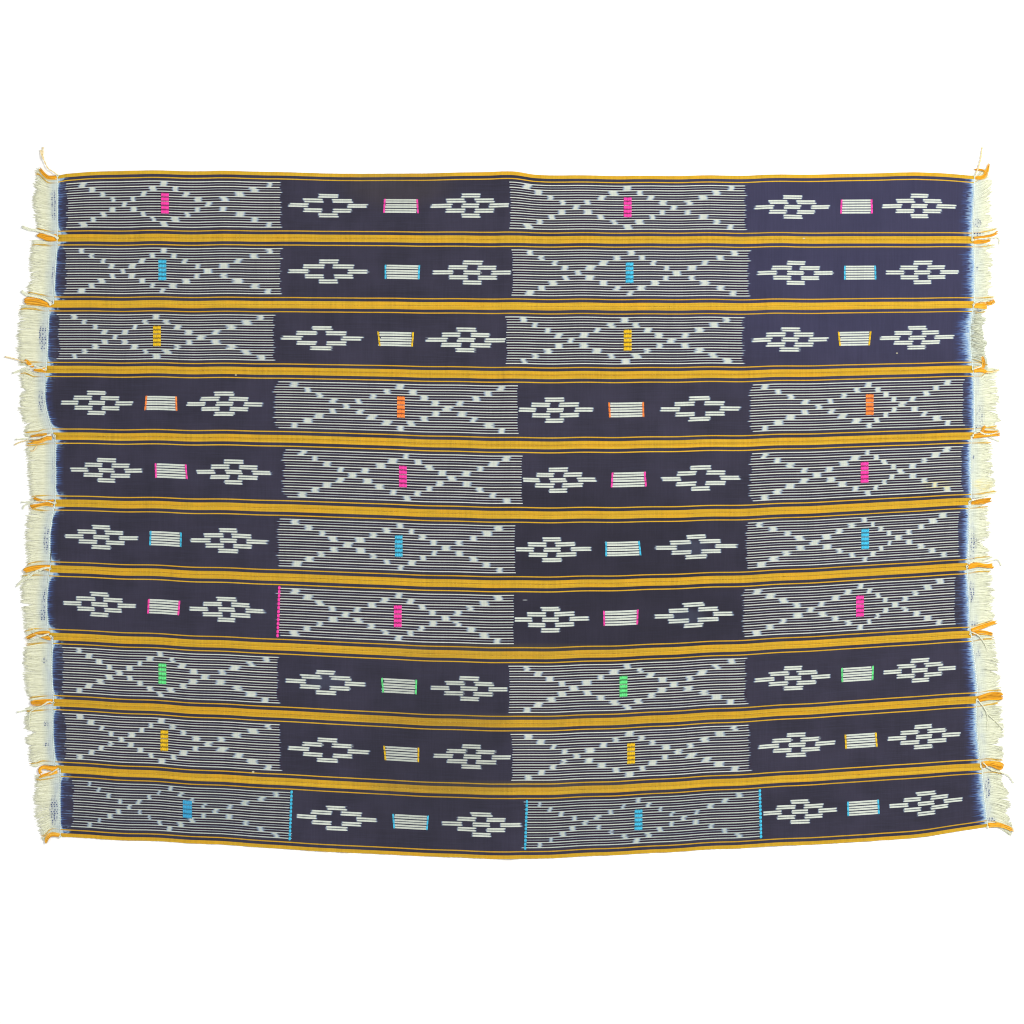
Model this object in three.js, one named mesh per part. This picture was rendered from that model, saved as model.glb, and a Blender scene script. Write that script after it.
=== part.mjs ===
// A strip-woven wrapper cloth, laid out flat with its right side up.
//
// Ten narrow cotton strips are sewn selvedge to selvedge, and the warp of every strip is left
// as a fringe at both of its ends. Units are millimetres. +X runs along the strips, +Y across
// them towards the first strip, and +Z up from the surface that the cloth lies on. The origin
// is under the middle of the whole cloth.
import * as THREE from "three";

const CLOTH_WALL = 1.2; // thickness of a woven strip
const SEAM_GAP = 0.3; // space left between neighbouring pieces
const FRINGE_ROOT = 2.2; // depth of the fringe where it leaves the weaving
const FRINGE_TIP = 1.3; // depth of the fringe at its cut ends
const SECTION_STEP = 70; // longest stretch of a strip between two sections
const CLOSEST_SECTIONS = 9; // sections nearer to each other than this are left out
const ROWS_ACROSS = 4; // facets across a strip

const INDIGO = new THREE.MeshStandardMaterial({ color: "#3f3c50", roughness: 0.9, metalness: 0 });
const CREAM = new THREE.MeshStandardMaterial({ color: "#e2e4c9", roughness: 0.95, metalness: 0 });

// The cloth's two outer selvedges, as places (x, y) that a smooth line runs through. The corners
// draw in where the last stitches pull them.
const UPPER_SELVEDGE = [
  { x: -735, y: 524 },
  { x: -707, y: 529.5 },
  { x: -676, y: 534.5 },
  { x: -645, y: 536 },
  { x: -480, y: 536 },
  { x: -365, y: 534.5 },
  { x: -255, y: 531.5 },
  { x: -68, y: 533.5 },
  { x: -5, y: 535 },
  { x: 41, y: 530 },
  { x: 260, y: 528.5 },
  { x: 525, y: 531.5 },
  { x: 642, y: 534 },
  { x: 690, y: 532.5 },
  { x: 720, y: 528.5 },
];
const LOWER_SELVEDGE = [
  { x: -735, y: -499 },
  { x: -707, y: -502 },
  { x: -645, y: -506 },
  { x: -458, y: -514.5 },
  { x: -365, y: -521.5 },
  { x: -177, y: -531 },
  { x: -5, y: -537 },
  { x: 166, y: -530.5 },
  { x: 353, y: -520 },
  { x: 540, y: -510.5 },
  { x: 665, y: -500.5 },
  { x: 700, y: -496 },
  { x: 740, y: -486.5 },
];

// The nine seams from the first strip down: Y at the left end, the left quarter, the middle,
// the right quarter and the right end. They sag towards the middle, more so lower down.
const SEAM_STATIONS = [-705, -365, 0, 370, 705];
const SEAMS = [
  { leftEnd: 431.5, leftQuarter: 431.5, middle: 429, rightQuarter: 428.5, rightEnd: 428.5 },
  { leftEnd: 328.5, leftQuarter: 327.5, middle: 325, rightQuarter: 324.5, rightEnd: 327.5 },
  { leftEnd: 226.5, leftQuarter: 224, middle: 218, rightQuarter: 219.5, rightEnd: 227 },
  { leftEnd: 122.5, leftQuarter: 118.5, middle: 108.5, rightQuarter: 112.5, rightEnd: 122.5 },
  { leftEnd: 18, leftQuarter: 10.5, middle: -0.5, rightQuarter: 4, rightEnd: 20.5 },
  { leftEnd: -85, leftQuarter: -97.5, middle: -108.5, rightQuarter: -99.5, rightEnd: -81 },
  { leftEnd: -190.5, leftQuarter: -206, middle: -219.5, rightQuarter: -206.5, rightEnd: -187 },
  { leftEnd: -293.5, leftQuarter: -311, middle: -326, rightQuarter: -311, rightEnd: -289.5 },
  { leftEnd: -397, leftQuarter: -416, middle: -431.5, rightQuarter: -415.5, rightEnd: -394.5 },
];

// The ends of each strip, first strip first. weave and fringe are X at the strip's upper
// selvedge, its middle and its lower selvedge: where the weaving stops, and where the fringe
// is cut. stray is how far the cut end fans out past the cloth's own upper or lower edge.
const LEFT_ENDS = [
  { weave: [-711, -711, -711], fringe: [-744, -748, -742], stray: 13 },
  { weave: [-711, -714.5, -717], fringe: [-750, -754, -759], stray: 0 },
  { weave: [-724, -726, -728.5], fringe: [-765, -774, -770], stray: 0 },
  { weave: [-730, -730, -717], fringe: [-767, -770, -759], stray: 0 },
  { weave: [-714.5, -714.5, -714.5], fringe: [-759, -758, -751], stray: 0 },
  { weave: [-715, -723, -722], fringe: [-754, -761, -757], stray: 0 },
  { weave: [-723, -728, -725], fringe: [-765, -768, -759], stray: 0 },
  { weave: [-718, -720, -717], fringe: [-760, -763, -756], stray: 0 },
  { weave: [-718, -718, -714], fringe: [-760, -761, -750], stray: 0 },
  { weave: [-706.5, -707.5, -706.5], fringe: [-742, -747, -733], stray: 10 },
];
const RIGHT_ENDS = [
  { weave: [719, 717, 714.5], fringe: [741, 745, 754], stray: 20 },
  { weave: [717, 719, 718], fringe: [747, 746, 743], stray: 0 },
  { weave: [717, 712, 716], fringe: [732, 733, 739], stray: 0 },
  { weave: [717.5, 718.5, 718.5], fringe: [756, 757, 754], stray: 0 },
  { weave: [713.5, 713, 714.5], fringe: [745, 747, 750], stray: 0 },
  { weave: [710, 710, 708], fringe: [737, 742, 745], stray: 0 },
  { weave: [706.5, 710.5, 712], fringe: [742, 747, 753], stray: 0 },
  { weave: [713.5, 720, 724.5], fringe: [748, 756, 759], stray: 0 },
  { weave: [721.5, 723, 728.5], fringe: [759, 762, 765], stray: 0 },
  { weave: [730, 734, 739.5], fringe: [759, 770, 776], stray: 16 },
];

// Creases that stay from folding the cloth away. Each is a soft ridge across all ten strips:
// x where it crosses the middle of the cloth, lean as X gained for each mm of Y, and the
// ridge's height at the upper and the lower edge.
const CREASES = [
  { name: "centre fold", x: -3, lean: 0.004, halfWidth: 34, upper: 2.2, lower: 3.8 },
  { name: "left quarter fold", x: -272, lean: 0.01, halfWidth: 46, upper: 1.8, lower: 1.2 },
  { name: "right quarter fold", x: 401, lean: -0.006, halfWidth: 40, upper: 1.4, lower: 2 },
];
const CREASE_SECTIONS = [-1, -0.62, -0.28, 0, 0.28, 0.62, 1]; // in half widths
const TALLEST_Y = 540; // where a crease has its upper height

// A smooth line through values given at stations, straight beyond the first and the last.
function valueAt(stations, values, at) {
  const last = stations.length - 1;
  const slope = (from, to) => (values[to] - values[from]) / (stations[to] - stations[from]);
  if (at <= stations[0]) return values[0] + slope(0, 1) * (at - stations[0]);
  if (at >= stations[last]) return values[last] + slope(last - 1, last) * (at - stations[last]);
  const next = stations.findIndex((station) => station > at);
  const here = next - 1;
  const length = stations[next] - stations[here];
  const part = (at - stations[here]) / length;
  const leaving = slope(Math.max(here - 1, 0), next) * length;
  const arriving = slope(here, Math.min(next + 1, last)) * length;
  const square = part * part;
  const cube = square * part;
  return (
    (2 * cube - 3 * square + 1) * values[here] +
    (cube - 2 * square + part) * leaving +
    (3 * square - 2 * cube) * values[next] +
    (cube - square) * arriving
  );
}

function selvedgeAt(places, x) {
  return valueAt(
    places.map((place) => place.x),
    places.map((place) => place.y),
    x,
  );
}

// Y of a long edge: 0 is the upper selvedge, 1 to 9 are the seams, 10 is the lower selvedge.
function edgeAt(edge, x) {
  if (edge === 0) return selvedgeAt(UPPER_SELVEDGE, x);
  if (edge > SEAMS.length) return selvedgeAt(LOWER_SELVEDGE, x);
  return valueAt(SEAM_STATIONS, Object.values(SEAMS[edge - 1]), x);
}

// Y inside one strip, with across running from 0 at its lower edge to 1 at its upper edge.
function strandAt(strip, across, x) {
  const upper = edgeAt(strip, x) - (strip > 0 ? SEAM_GAP / 2 : 0);
  const lower = edgeAt(strip + 1, x) + (strip < SEAMS.length ? SEAM_GAP / 2 : 0);
  return lower + (upper - lower) * across;
}

// X of a strip's end at a place across it.
function endAt(threeValues, across) {
  return valueAt([0, 0.5, 1], threeValues, 1 - across);
}

// Height of the cloth's underside over the surface that it lies on.
function liftAt(x, y) {
  let lift = 0;
  for (const crease of CREASES) {
    const away = Math.abs(x - crease.x - crease.lean * y) / crease.halfWidth;
    if (away >= 1) continue;
    const height =
      (crease.upper + crease.lower) / 2 + ((crease.upper - crease.lower) / 2) * (y / TALLEST_Y);
    lift += height * Math.cos((away * Math.PI) / 2) ** 2;
  }
  return lift;
}

// Where the sections of every strip lie between its two ends: close at each crease, and no
// more than one step apart elsewhere.
function sectionPlaces() {
  const places = CREASES.flatMap((crease) =>
    CREASE_SECTIONS.map((share) => ({ x: crease.x + share * crease.halfWidth, lean: crease.lean })),
  );
  const limit = 10 * SECTION_STEP - 5;
  for (let x = -limit; x <= limit; x += SECTION_STEP)
    if (places.every((place) => Math.abs(place.x - x) > SECTION_STEP / 2)) places.push({ x, lean: 0 });
  places.sort((one, other) => one.x - other.x);
  return places.filter(
    (place, index) => index === 0 || place.x - places[index - 1].x > CLOSEST_SECTIONS,
  );
}

// A closed wall over a grid of places. placeAt(column, across) gives x, y and the heights of
// the wall's underside and upper side.
function wall(columns, rows, placeAt) {
  const positions = [];
  for (const side of ["high", "low"])
    for (let row = 0; row <= rows; row++)
      for (let column = 0; column <= columns; column++) {
        const place = placeAt(column, row / rows);
        positions.push(place.x, place.y, place[side]);
      }
  const perRow = columns + 1;
  const perSide = perRow * (rows + 1);
  const high = (column, row) => row * perRow + column;
  const low = (column, row) => perSide + high(column, row);
  const faces = [];
  const quad = (a, b, c, d) => faces.push(a, b, c, a, c, d);
  for (let row = 0; row < rows; row++)
    for (let column = 0; column < columns; column++) {
      const next = column + 1;
      quad(high(column, row), high(next, row), high(next, row + 1), high(column, row + 1));
      quad(low(column, row), low(column, row + 1), low(next, row + 1), low(next, row));
    }
  for (let column = 0; column < columns; column++) {
    const next = column + 1;
    quad(low(column, 0), low(next, 0), high(next, 0), high(column, 0));
    quad(high(column, rows), high(next, rows), low(next, rows), low(column, rows));
  }
  for (let row = 0; row < rows; row++) {
    quad(low(columns, row), low(columns, row + 1), high(columns, row + 1), high(columns, row));
    quad(high(0, row), high(0, row + 1), low(0, row + 1), low(0, row));
  }
  const geometry = new THREE.BufferGeometry();
  geometry.setAttribute("position", new THREE.Float32BufferAttribute(positions, 3));
  geometry.setIndex(faces);
  geometry.computeVertexNormals();
  return geometry;
}

function stripMesh(strip, sections) {
  const columns = sections.length + 1;
  const geometry = wall(columns, ROWS_ACROSS, (column, across) => {
    let x;
    if (column === 0) x = endAt(LEFT_ENDS[strip].weave, across);
    else if (column === columns) x = endAt(RIGHT_ENDS[strip].weave, across);
    else {
      const section = sections[column - 1];
      x = section.x + section.lean * strandAt(strip, across, section.x);
    }
    const y = strandAt(strip, across, x);
    const low = liftAt(x, y);
    return { x, y, low, high: low + CLOTH_WALL };
  });
  return new THREE.Mesh(geometry, INDIGO);
}

// The plain body of a fringe, from the weaving out to where it is cut.
function fringeMesh(strip, end, outwards) {
  const columns = 2;
  const fan = strip === 0 ? end.stray : strip === SEAMS.length ? -end.stray : 0;
  const geometry = wall(columns, ROWS_ACROSS, (column, across) => {
    const out = outwards > 0 ? column / columns : 1 - column / columns;
    const root = endAt(end.weave, across) + outwards * SEAM_GAP;
    const x = root + (endAt(end.fringe, across) - root) * out;
    const outer = fan > 0 ? across : 1 - across;
    const y = strandAt(strip, across, root) + fan * out * Math.max(0, 2 * outer - 1);
    return { x, y, low: 0, high: FRINGE_ROOT + (FRINGE_TIP - FRINGE_ROOT) * out };
  });
  return new THREE.Mesh(geometry, CREAM);
}

const cloth = new THREE.Group();
const sections = sectionPlaces();
for (let strip = 0; strip <= SEAMS.length; strip++) {
  const number = String(strip + 1).padStart(2, "0");
  const pieces = {
    [`strip_${number}`]: stripMesh(strip, sections),
    [`fringe_left_${number}`]: fringeMesh(strip, LEFT_ENDS[strip], -1),
    [`fringe_right_${number}`]: fringeMesh(strip, RIGHT_ENDS[strip], 1),
  };
  for (const [name, mesh] of Object.entries(pieces)) {
    mesh.name = name;
    cloth.add(mesh);
  }
}
const middle = new THREE.Box3().setFromObject(cloth).getCenter(new THREE.Vector3());
cloth.position.set(-middle.x, -middle.y, 0);

export default cloth;
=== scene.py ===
"""A strip-woven indigo ikat wrapper cloth, laid flat and seen from straight above.

Each strip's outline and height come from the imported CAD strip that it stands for. Names ending
in _MM and every place and length in a table are millimetres in the model's own frame: X runs
along the strips, Y across them, and Z up from the surface that the cloth lies on.
"""

import math
from functools import partialmethod

import bpy
import numpy as np
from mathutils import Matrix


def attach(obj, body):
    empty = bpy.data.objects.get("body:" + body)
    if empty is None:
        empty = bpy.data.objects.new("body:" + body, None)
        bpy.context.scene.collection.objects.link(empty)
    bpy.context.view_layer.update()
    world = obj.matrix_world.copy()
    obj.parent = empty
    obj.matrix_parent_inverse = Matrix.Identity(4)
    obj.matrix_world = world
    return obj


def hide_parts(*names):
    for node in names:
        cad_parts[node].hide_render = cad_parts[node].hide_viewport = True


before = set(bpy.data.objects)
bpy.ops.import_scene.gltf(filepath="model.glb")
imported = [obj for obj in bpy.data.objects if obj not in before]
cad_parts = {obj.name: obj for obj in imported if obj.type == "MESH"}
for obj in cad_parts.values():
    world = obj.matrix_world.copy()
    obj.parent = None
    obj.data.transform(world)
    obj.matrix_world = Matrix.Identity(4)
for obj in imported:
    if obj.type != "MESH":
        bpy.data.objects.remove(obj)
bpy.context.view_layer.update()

MM = 0.001
STRIPS_COUNT = 10
SEED = 41
SIDES = ("left", "right")
OUTWARDS = (-1, 1)


def table(columns, *rows):
    """Rows of values as dicts, under the names of their columns. A row may stop early."""
    return [dict(zip(columns.split(), row)) for row in rows]


# How the stripes lie across a strip, measured from its upper selvedge on a strip this wide.
STRIP_WIDTH_MM = 104.0
GOLD_BAND_MM = 5.6
GOLD_LINE_MM = (10.1, 11.8)
GOLD_LINE_MIDDLE_MM = sum(GOLD_LINE_MM) / 2
FIRST_LINE_MM = 16.5
ROW_PITCH_MM = 7.84
ROWS = 9
MIDDLE_ROW = (ROWS - 1) / 2
MIDDLE_MM = FIRST_LINE_MM + ROW_PITCH_MM * ROWS / 2
YARN_PITCH_MM = ROW_PITCH_MM / 12
TOOTH_MM = 2.8

# The woven design along a strip. It repeats once: a lined lattice, then a plain panel that
# holds a diamond, a rectangle and another diamond.
LATTICE_STEP_MM = 70.0
LATTICE_LEAD_MM = 26.0
LATTICE_MM = 328.0
FIRST_DIAMOND_MM = 400.0
RECTANGLE_MM = 509.0
SECOND_DIAMOND_MM = 618.5
REPEAT_MM = 686.0
RECTANGLE_HALF_MM = 27.0
DASH_HALF_MM = 15.4
DASH_STEP_MM = 23.6
DIAMOND_HALF_MM = 2 * DASH_STEP_MM + DASH_HALF_MM
FIRST_GAP_MM = (FIRST_DIAMOND_MM + DIAMOND_HALF_MM + RECTANGLE_MM - RECTANGLE_HALF_MM) / 2
SECOND_GAP_MM = (RECTANGLE_MM + RECTANGLE_HALF_MM + SECOND_DIAMOND_MM - DIAMOND_HALF_MM) / 2
LATTICE_EDGES_MM = (0, LATTICE_MM, REPEAT_MM, REPEAT_MM + LATTICE_MM)

# Where each part of the design falls on the cloth: chart is the place in the design, plain is
# X on the strips that lie one way, and turned is X on the strips that lie the other way.
# half is half the length of a figure, which came out shorter towards the end of the loom.
DESIGN_PLACES = table(
    "part chart plain turned half",
    ("lattice start", 0, -702, 694),
    ("lattice point 0", 26, -677.5, 671),
    ("lattice point 1", 96, -614, 599),
    ("lattice point 2", 166, -551.5, 548),
    ("lattice point 3", 236, -480.5, 468.5),
    ("lattice point 4", 306, -385.5, 384.5),
    ("lattice end", 328, -368, 364),
    ("open diamond", 400, -293, 285.5, 61),
    ("rectangle", 509, -178, 172, 25),
    ("filled diamond", 618.5, -69, 61, 60),
    ("second lattice start", 686, -6.5, 4.5),
    ("second lattice point 0", 712, 20.5, -19.5),
    ("second lattice point 1", 782, 94.5, -104.5),
    ("second lattice point 2", 852, 177.5, -176),
    ("second lattice point 3", 922, 251, -260.5),
    ("second lattice point 4", 992, 339, -339.5),
    ("second lattice end", 1014, 362, -368.5),
    ("third diamond", 1086, 436, -446.5, 58),
    ("second rectangle", 1195, 536.5, -544.5, 23),
    ("fourth diamond", 1304.5, 634, -645, 56),
)
SHIFT_STATIONS_MM = (-500, 0, 500)
CLOSEST_PLACES_MM = 0.6

# This strip has narrower blotches, greyer lattices and one short block.
ODD_STRIP = 10

# What differs from strip to strip: which way it lies, how far its design is shifted at the
# left, the middle and the right, the colour of its laid-in threads, and X of its two blocks.
# comb is how far in from its left and right ends the warp is bare of dye, bleed how far it is
# pale, and corner how far it is bare at the left end's upper and lower corner.
STRIPS = table(
    "turned shift dye blocks comb bleed corner",
    (False, [4.5, 0, -2.5], "pink", [-544.5, 177], [2, 9], [18, 26], [4, 8]),
    (False, [3, 4, 3], "blue", [-548.5, 180], [2.5, 9], [15, 26], [7, 7]),
    (False, [-8, -5.5, -5.5], "yellow", [-557, 177], [3, 15], [15, 34], [5, 8]),
    (True, [-6, 1.5, 6], "orange", [-176.5, 554.5], [3.5, 8], [16, 19], [9, 17]),
    (True, [9.5, 8, 4], "pink", [-173.5, 546.5], [3.5, 7], [16, 19], [5, 9]),
    (True, [1, -3, -1], "blue", [-180, 547.5], [3.5, 7], [15, 19], [9, 9]),
    (True, [-2, -5, -7], "pink", [-181.5, 539.5], [3.5, 7], [15, 20], [9, 12]),
    (False, [-1, -1, -1], "green", [-548.5, 170.5], [2, 8], [16, 24], [6, 6]),
    (False, [2, 3, 4.5], "yellow", [-545.5, 182.5], [2.5, 8], [16, 26], [6, 7]),
    (False, [14, 18, 8], "blue", [-509.5, 194], [2.5, 12], [20, 26], [6, 5]),
)

# Rows of single dots worked in colour across two of the strips, with X at their upper and lower
# ends, and how far down the stripes they start and stop.
DOTTED_ROWS = table(
    "strip dye top bottom",
    (7, "pink", -366, -369),
    (10, "blue", -347, -350),
    (10, "blue", 20, 17),
    (10, "blue", 383, 385),
)
DOTTED_STRETCH_MM = (13.0, 90.5)
DYES = {
    "pink": "#fb42ae",
    "blue": "#46c2e6",
    "dull blue": "#3ba6d2",
    "yellow": "#ebc111",
    "orange": "#ff8b3b",
    "green": "#68e489",
}


# ---- numbers and smooth lines


def colour(code):
    """A hex colour as linear red, green, blue and alpha."""
    parts = [int(code[i : i + 2], 16) / 255 for i in (1, 3, 5)]
    linear = [p / 12.92 if p <= 0.04045 else ((p + 0.055) / 1.055) ** 2.4 for p in parts]
    return (*linear, 1.0)


def smooth_line(stations, values, at):
    """A smooth line through values given at stations, straight beyond the first and last."""
    stations = np.asarray(stations, float)
    values = np.asarray(values, float)
    at = np.asarray(at, float)
    steps = np.diff(stations)
    slopes = np.diff(values) / steps
    through = np.empty_like(values)
    through[0] = slopes[0]
    through[-1] = slopes[-1]
    through[1:-1] = (values[2:] - values[:-2]) / (stations[2:] - stations[:-2])
    here = np.clip(np.searchsorted(stations, at, side="right") - 1, 0, len(steps) - 1)
    part = (at - stations[here]) / steps[here]
    inside = np.clip(part, 0, 1)
    square = inside**2
    cube = inside**3
    line = (
        (2 * cube - 3 * square + 1) * values[here]
        + (cube - 2 * square + inside) * steps[here] * through[here]
        + (3 * square - 2 * cube) * values[here + 1]
        + (cube - square) * steps[here] * through[here + 1]
    )
    return line + (part - inside) * steps[here] * slopes[here]


def waves(x, y, wave_x, wave_y, seed):
    """Uneven waves between about -1 and 1, about wave_x and wave_y millimetres long."""
    count = 7
    rng = np.random.default_rng(seed)
    total = np.zeros(np.broadcast(x, y).shape)
    for _ in range(count):
        along = rng.uniform(0.55, 1.6) / wave_x
        across = rng.uniform(-1.3, 1.3) / wave_y
        phase = rng.uniform(0, 2 * math.pi)
        total += np.sin(2 * math.pi * (along * x + across * y) + phase)
    return total / math.sqrt(count)


def soft_between(low, high, value):
    """Goes smoothly from 0 at low to 1 at high."""
    part = np.clip((value - low) / (high - low), 0, 1)
    return part * part * (3 - 2 * part)


# ---- the strips' outlines


def rim(node, axis, sign):
    """Places (x, y, underside z) along the rim of a CAD strip that faces along an axis."""
    mesh = node.data
    lowest = {}
    for polygon in mesh.polygons:
        if polygon.normal[axis] * sign < 0.7:
            continue
        for index in polygon.vertices:
            x, y, z = (value / MM for value in mesh.vertices[index].co)
            place = (round(x, 2), round(y, 2))
            lowest[place] = min(z, lowest.get(place, z))
    places = np.array([(x, y, z) for (x, y), z in lowest.items()])
    return places[np.argsort(places[:, 1 - axis])]


def end_line(places):
    """The places of an end: how far each is across the strip, and its X and Y."""
    x, y, _ = places.T
    return (y - y[0]) / (y[-1] - y[0]), x, y


SHELL_MM = 1.1
ROUNDED_EDGE_MM = 1.6
LOWEST_MM = 0.05


class Strip:
    """One woven strip: its outline, its height and where the design falls on it."""

    def __init__(self, number):
        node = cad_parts[f"strip_{number:02d}"]
        self.number = number
        self.facts = STRIPS[number - 1]
        self.upper = rim(node, 1, 1)
        self.lower = rim(node, 1, -1)
        self.ends = [end_line(rim(node, 0, outwards)) for outwards in OUTWARDS]
        self.length = float(np.mean(self.ends[1][1]) - np.mean(self.ends[0][1]))
        self.width = float(np.mean(self.upper[:, 1]) - np.mean(self.lower[:, 1]))
        places, self.design_chart = self.design_knots(self.facts["turned"])
        self.design_x = places + np.interp(places, SHIFT_STATIONS_MM, self.facts["shift"])
        self.meet_dots()

    def meet_dots(self):
        """A row of dots is worked where a lattice starts or stops, so the two are one place."""
        edges = np.flatnonzero(np.isin(self.design_chart, LATTICE_EDGES_MM))
        for row in DOTTED_ROWS:
            if row["strip"] == self.number:
                middle = (row["top"] + row["bottom"]) / 2
                nearest = edges[np.argmin(np.abs(self.design_x[edges] - middle))]
                self.design_x[nearest] = middle

    @staticmethod
    def design_knots(turned):
        """X and chart places where the design is pinned, from left to right."""
        forwards = -1 if turned else 1
        knots = []
        for row in DESIGN_PLACES:
            place = row["turned" if turned else "plain"]
            knots.append((place, row["chart"]))
            if "half" in row:
                is_diamond = row["part"].endswith("diamond")
                chart_half = DIAMOND_HALF_MM if is_diamond else RECTANGLE_HALF_MM
                half = row["half"] * forwards
                knots.append((place - half, row["chart"] - chart_half))
                knots.append((place + half, row["chart"] + chart_half))
        knots = np.array(sorted(knots, key=lambda knot: knot[1] * forwards), float)
        least_steps = np.arange(len(knots)) * CLOSEST_PLACES_MM
        places = np.maximum.accumulate(knots[:, 0] - least_steps) + least_steps
        return places, knots[:, 1]

    def end_x(self, side, across):
        stations, values, _ = self.ends[side]
        return smooth_line(stations, values, across)

    def edges_y(self, x):
        sway = 0.3 * waves(x, np.zeros_like(x), 150, 900, SEED)
        lower = smooth_line(self.lower[:, 0], self.lower[:, 1], x)
        upper = smooth_line(self.upper[:, 0], self.upper[:, 1], x)
        return lower + sway, upper + sway

    def y_at(self, x, across):
        lower, upper = self.edges_y(x)
        return lower + (upper - lower) * across

    def underside(self, x, y, across):
        """Height of the cloth's underside, with the soft ripples that a laid cloth keeps."""
        low = np.interp(x, self.lower[:, 0], self.lower[:, 2])
        high = np.interp(x, self.upper[:, 0], self.upper[:, 2])
        lift = low + (high - low) * across
        from_edge = np.minimum(across, 1 - across) * STRIP_WIDTH_MM
        swell = 0.66 * waves(x, y, 150, 260, SEED + 1)
        ripple = 0.55 * waves(x, y, 42, 150, SEED + 2)
        fine = 0.13 * waves(x, y, 15, 40, SEED + 3)
        pucker = 0.34 * waves(x, y, 10, 60, SEED + 4) * np.exp(-((from_edge / 8) ** 2))
        return np.maximum(lift + 0.5 + swell + ripple + fine + pucker, LOWEST_MM)

    def top(self, x, y, across):
        from_edge = np.minimum(across, 1 - across) * STRIP_WIDTH_MM
        rounded = 0.45 + 0.55 * np.sqrt(np.clip(from_edge / ROUNDED_EDGE_MM, 0, 1))
        return self.underside(x, y, across) + SHELL_MM * rounded

    def place(self, x, down, lift):
        """A point on the strip: down is the stripes' place across it from its upper edge."""
        x = np.asarray(x, float)
        across = 1 - np.asarray(down, float) / STRIP_WIDTH_MM
        y = self.y_at(x, across)
        return np.stack([x, y, self.top(x, y, across) + lift], axis=-1)

    def chart(self, x):
        """The place in the design at X, at the outermost pace beyond the first and last."""
        pace = np.diff(self.design_chart) / np.diff(self.design_x)
        line = np.interp(x, self.design_x, self.design_chart)
        line = line + np.minimum(x - self.design_x[0], 0) * pace[0]
        return line + np.maximum(x - self.design_x[-1], 0) * pace[-1]

    def x_of(self, chart):
        order = np.argsort(self.design_chart)
        return float(np.interp(chart, self.design_chart[order], self.design_x[order]))


strips = [Strip(number) for number in range(1, STRIPS_COUNT + 1)]


# ---- meshes from arrays


def linked(name, data):
    """A new object in the scene."""
    made = bpy.data.objects.new(name, data)
    bpy.context.scene.collection.objects.link(made)
    return made


def make_mesh(name, points_mm, faces, material):
    """An object from points in millimetres and a list of arrays of faces, one per face size."""
    mesh = bpy.data.meshes.new(name)
    mesh.vertices.add(len(points_mm))
    mesh.vertices.foreach_set("co", (np.asarray(points_mm) * MM).astype(np.float32).ravel())
    corners = np.concatenate([np.asarray(group).ravel() for group in faces])
    sizes = np.concatenate([np.full(len(group), len(group[0])) for group in faces])
    mesh.loops.add(len(corners))
    mesh.loops.foreach_set("vertex_index", corners.astype(np.int32))
    mesh.polygons.add(len(sizes))
    starts = np.concatenate([[0], np.cumsum(sizes)[:-1]])
    mesh.polygons.foreach_set("loop_start", starts.astype(np.int32))
    mesh.update(calc_edges=True)
    mesh.validate()
    mesh.shade_smooth()
    mesh.materials.append(material)
    return linked(name, mesh)


def give_vectors(piece, name, values):
    attribute = piece.data.attributes.new(name, "FLOAT_VECTOR", "POINT")
    attribute.data.foreach_set("vector", np.asarray(values, np.float32).ravel())


def give_uv(piece, uv_of_corner):
    layer = piece.data.uv_layers.new(name="OFBake")
    layer.uv.foreach_set("vector", np.asarray(uv_of_corner, np.float32).ravel())


def corner_vertices(piece):
    found = np.empty(len(piece.data.loops), np.int32)
    piece.data.loops.foreach_get("vertex_index", found)
    return found


def quads(index):
    """Quads over a grid of point numbers."""
    corners = (index[:-1, :-1], index[:-1, 1:], index[1:, 1:], index[1:, :-1])
    return np.stack(corners, axis=-1).reshape(-1, 4)


# ---- node formulas


def feed(tree, target, value):
    """Give a node's input a value, a socket, a number or a hex colour."""
    if isinstance(value, Value):
        tree.links.new(value.socket, target)
    elif isinstance(value, bpy.types.NodeSocket):
        tree.links.new(value, target)
    else:
        target.default_value = colour(value) if isinstance(value, str) else value


class Value:
    """A value in a node tree, so that a formula can be written as one."""

    def __init__(self, tree, socket):
        self.tree = tree
        self.socket = socket

    def work_out(self, operation, *others):
        node = self.tree.nodes.new("ShaderNodeMath")
        node.operation = operation
        for target, value in zip(node.inputs, (self, *others)):
            feed(self.tree, target, value)
        return Value(self.tree, node.outputs[0])

    __add__ = __radd__ = partialmethod(work_out, "ADD")
    __sub__ = partialmethod(work_out, "SUBTRACT")
    __mul__ = partialmethod(work_out, "MULTIPLY")
    __truediv__ = partialmethod(work_out, "DIVIDE")
    absolute = partialmethod(work_out, "ABSOLUTE")
    floor = partialmethod(work_out, "FLOOR")
    wrapped = partialmethod(work_out, "FLOORED_MODULO")
    least = partialmethod(work_out, "MINIMUM")
    most = partialmethod(work_out, "MAXIMUM")
    over = partialmethod(work_out, "GREATER_THAN")
    under = partialmethod(work_out, "LESS_THAN")
    sine = partialmethod(work_out, "SINE")
    power = partialmethod(work_out, "POWER")

    def __rsub__(self, other):
        return (self * -1.0) + other

    def within(self, low, high):
        """1 between two limits, and 0 elsewhere."""
        return self.over(low) * self.under(high)

    def off_half(self):
        """How far this value is from the middle of its whole step: 0 to 0.5."""
        return (self.wrapped(1.0) - 0.5).absolute()

    def rise(self, low, high, start=0.0, end=1.0):
        """Goes smoothly from start to end while this value goes from low to high."""
        node = self.tree.nodes.new("ShaderNodeMapRange")
        node.interpolation_type = "SMOOTHSTEP"
        for target, value in zip(node.inputs, (self, low, high, start, end)):
            feed(self.tree, target, value)
        return Value(self.tree, node.outputs[0])


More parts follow.
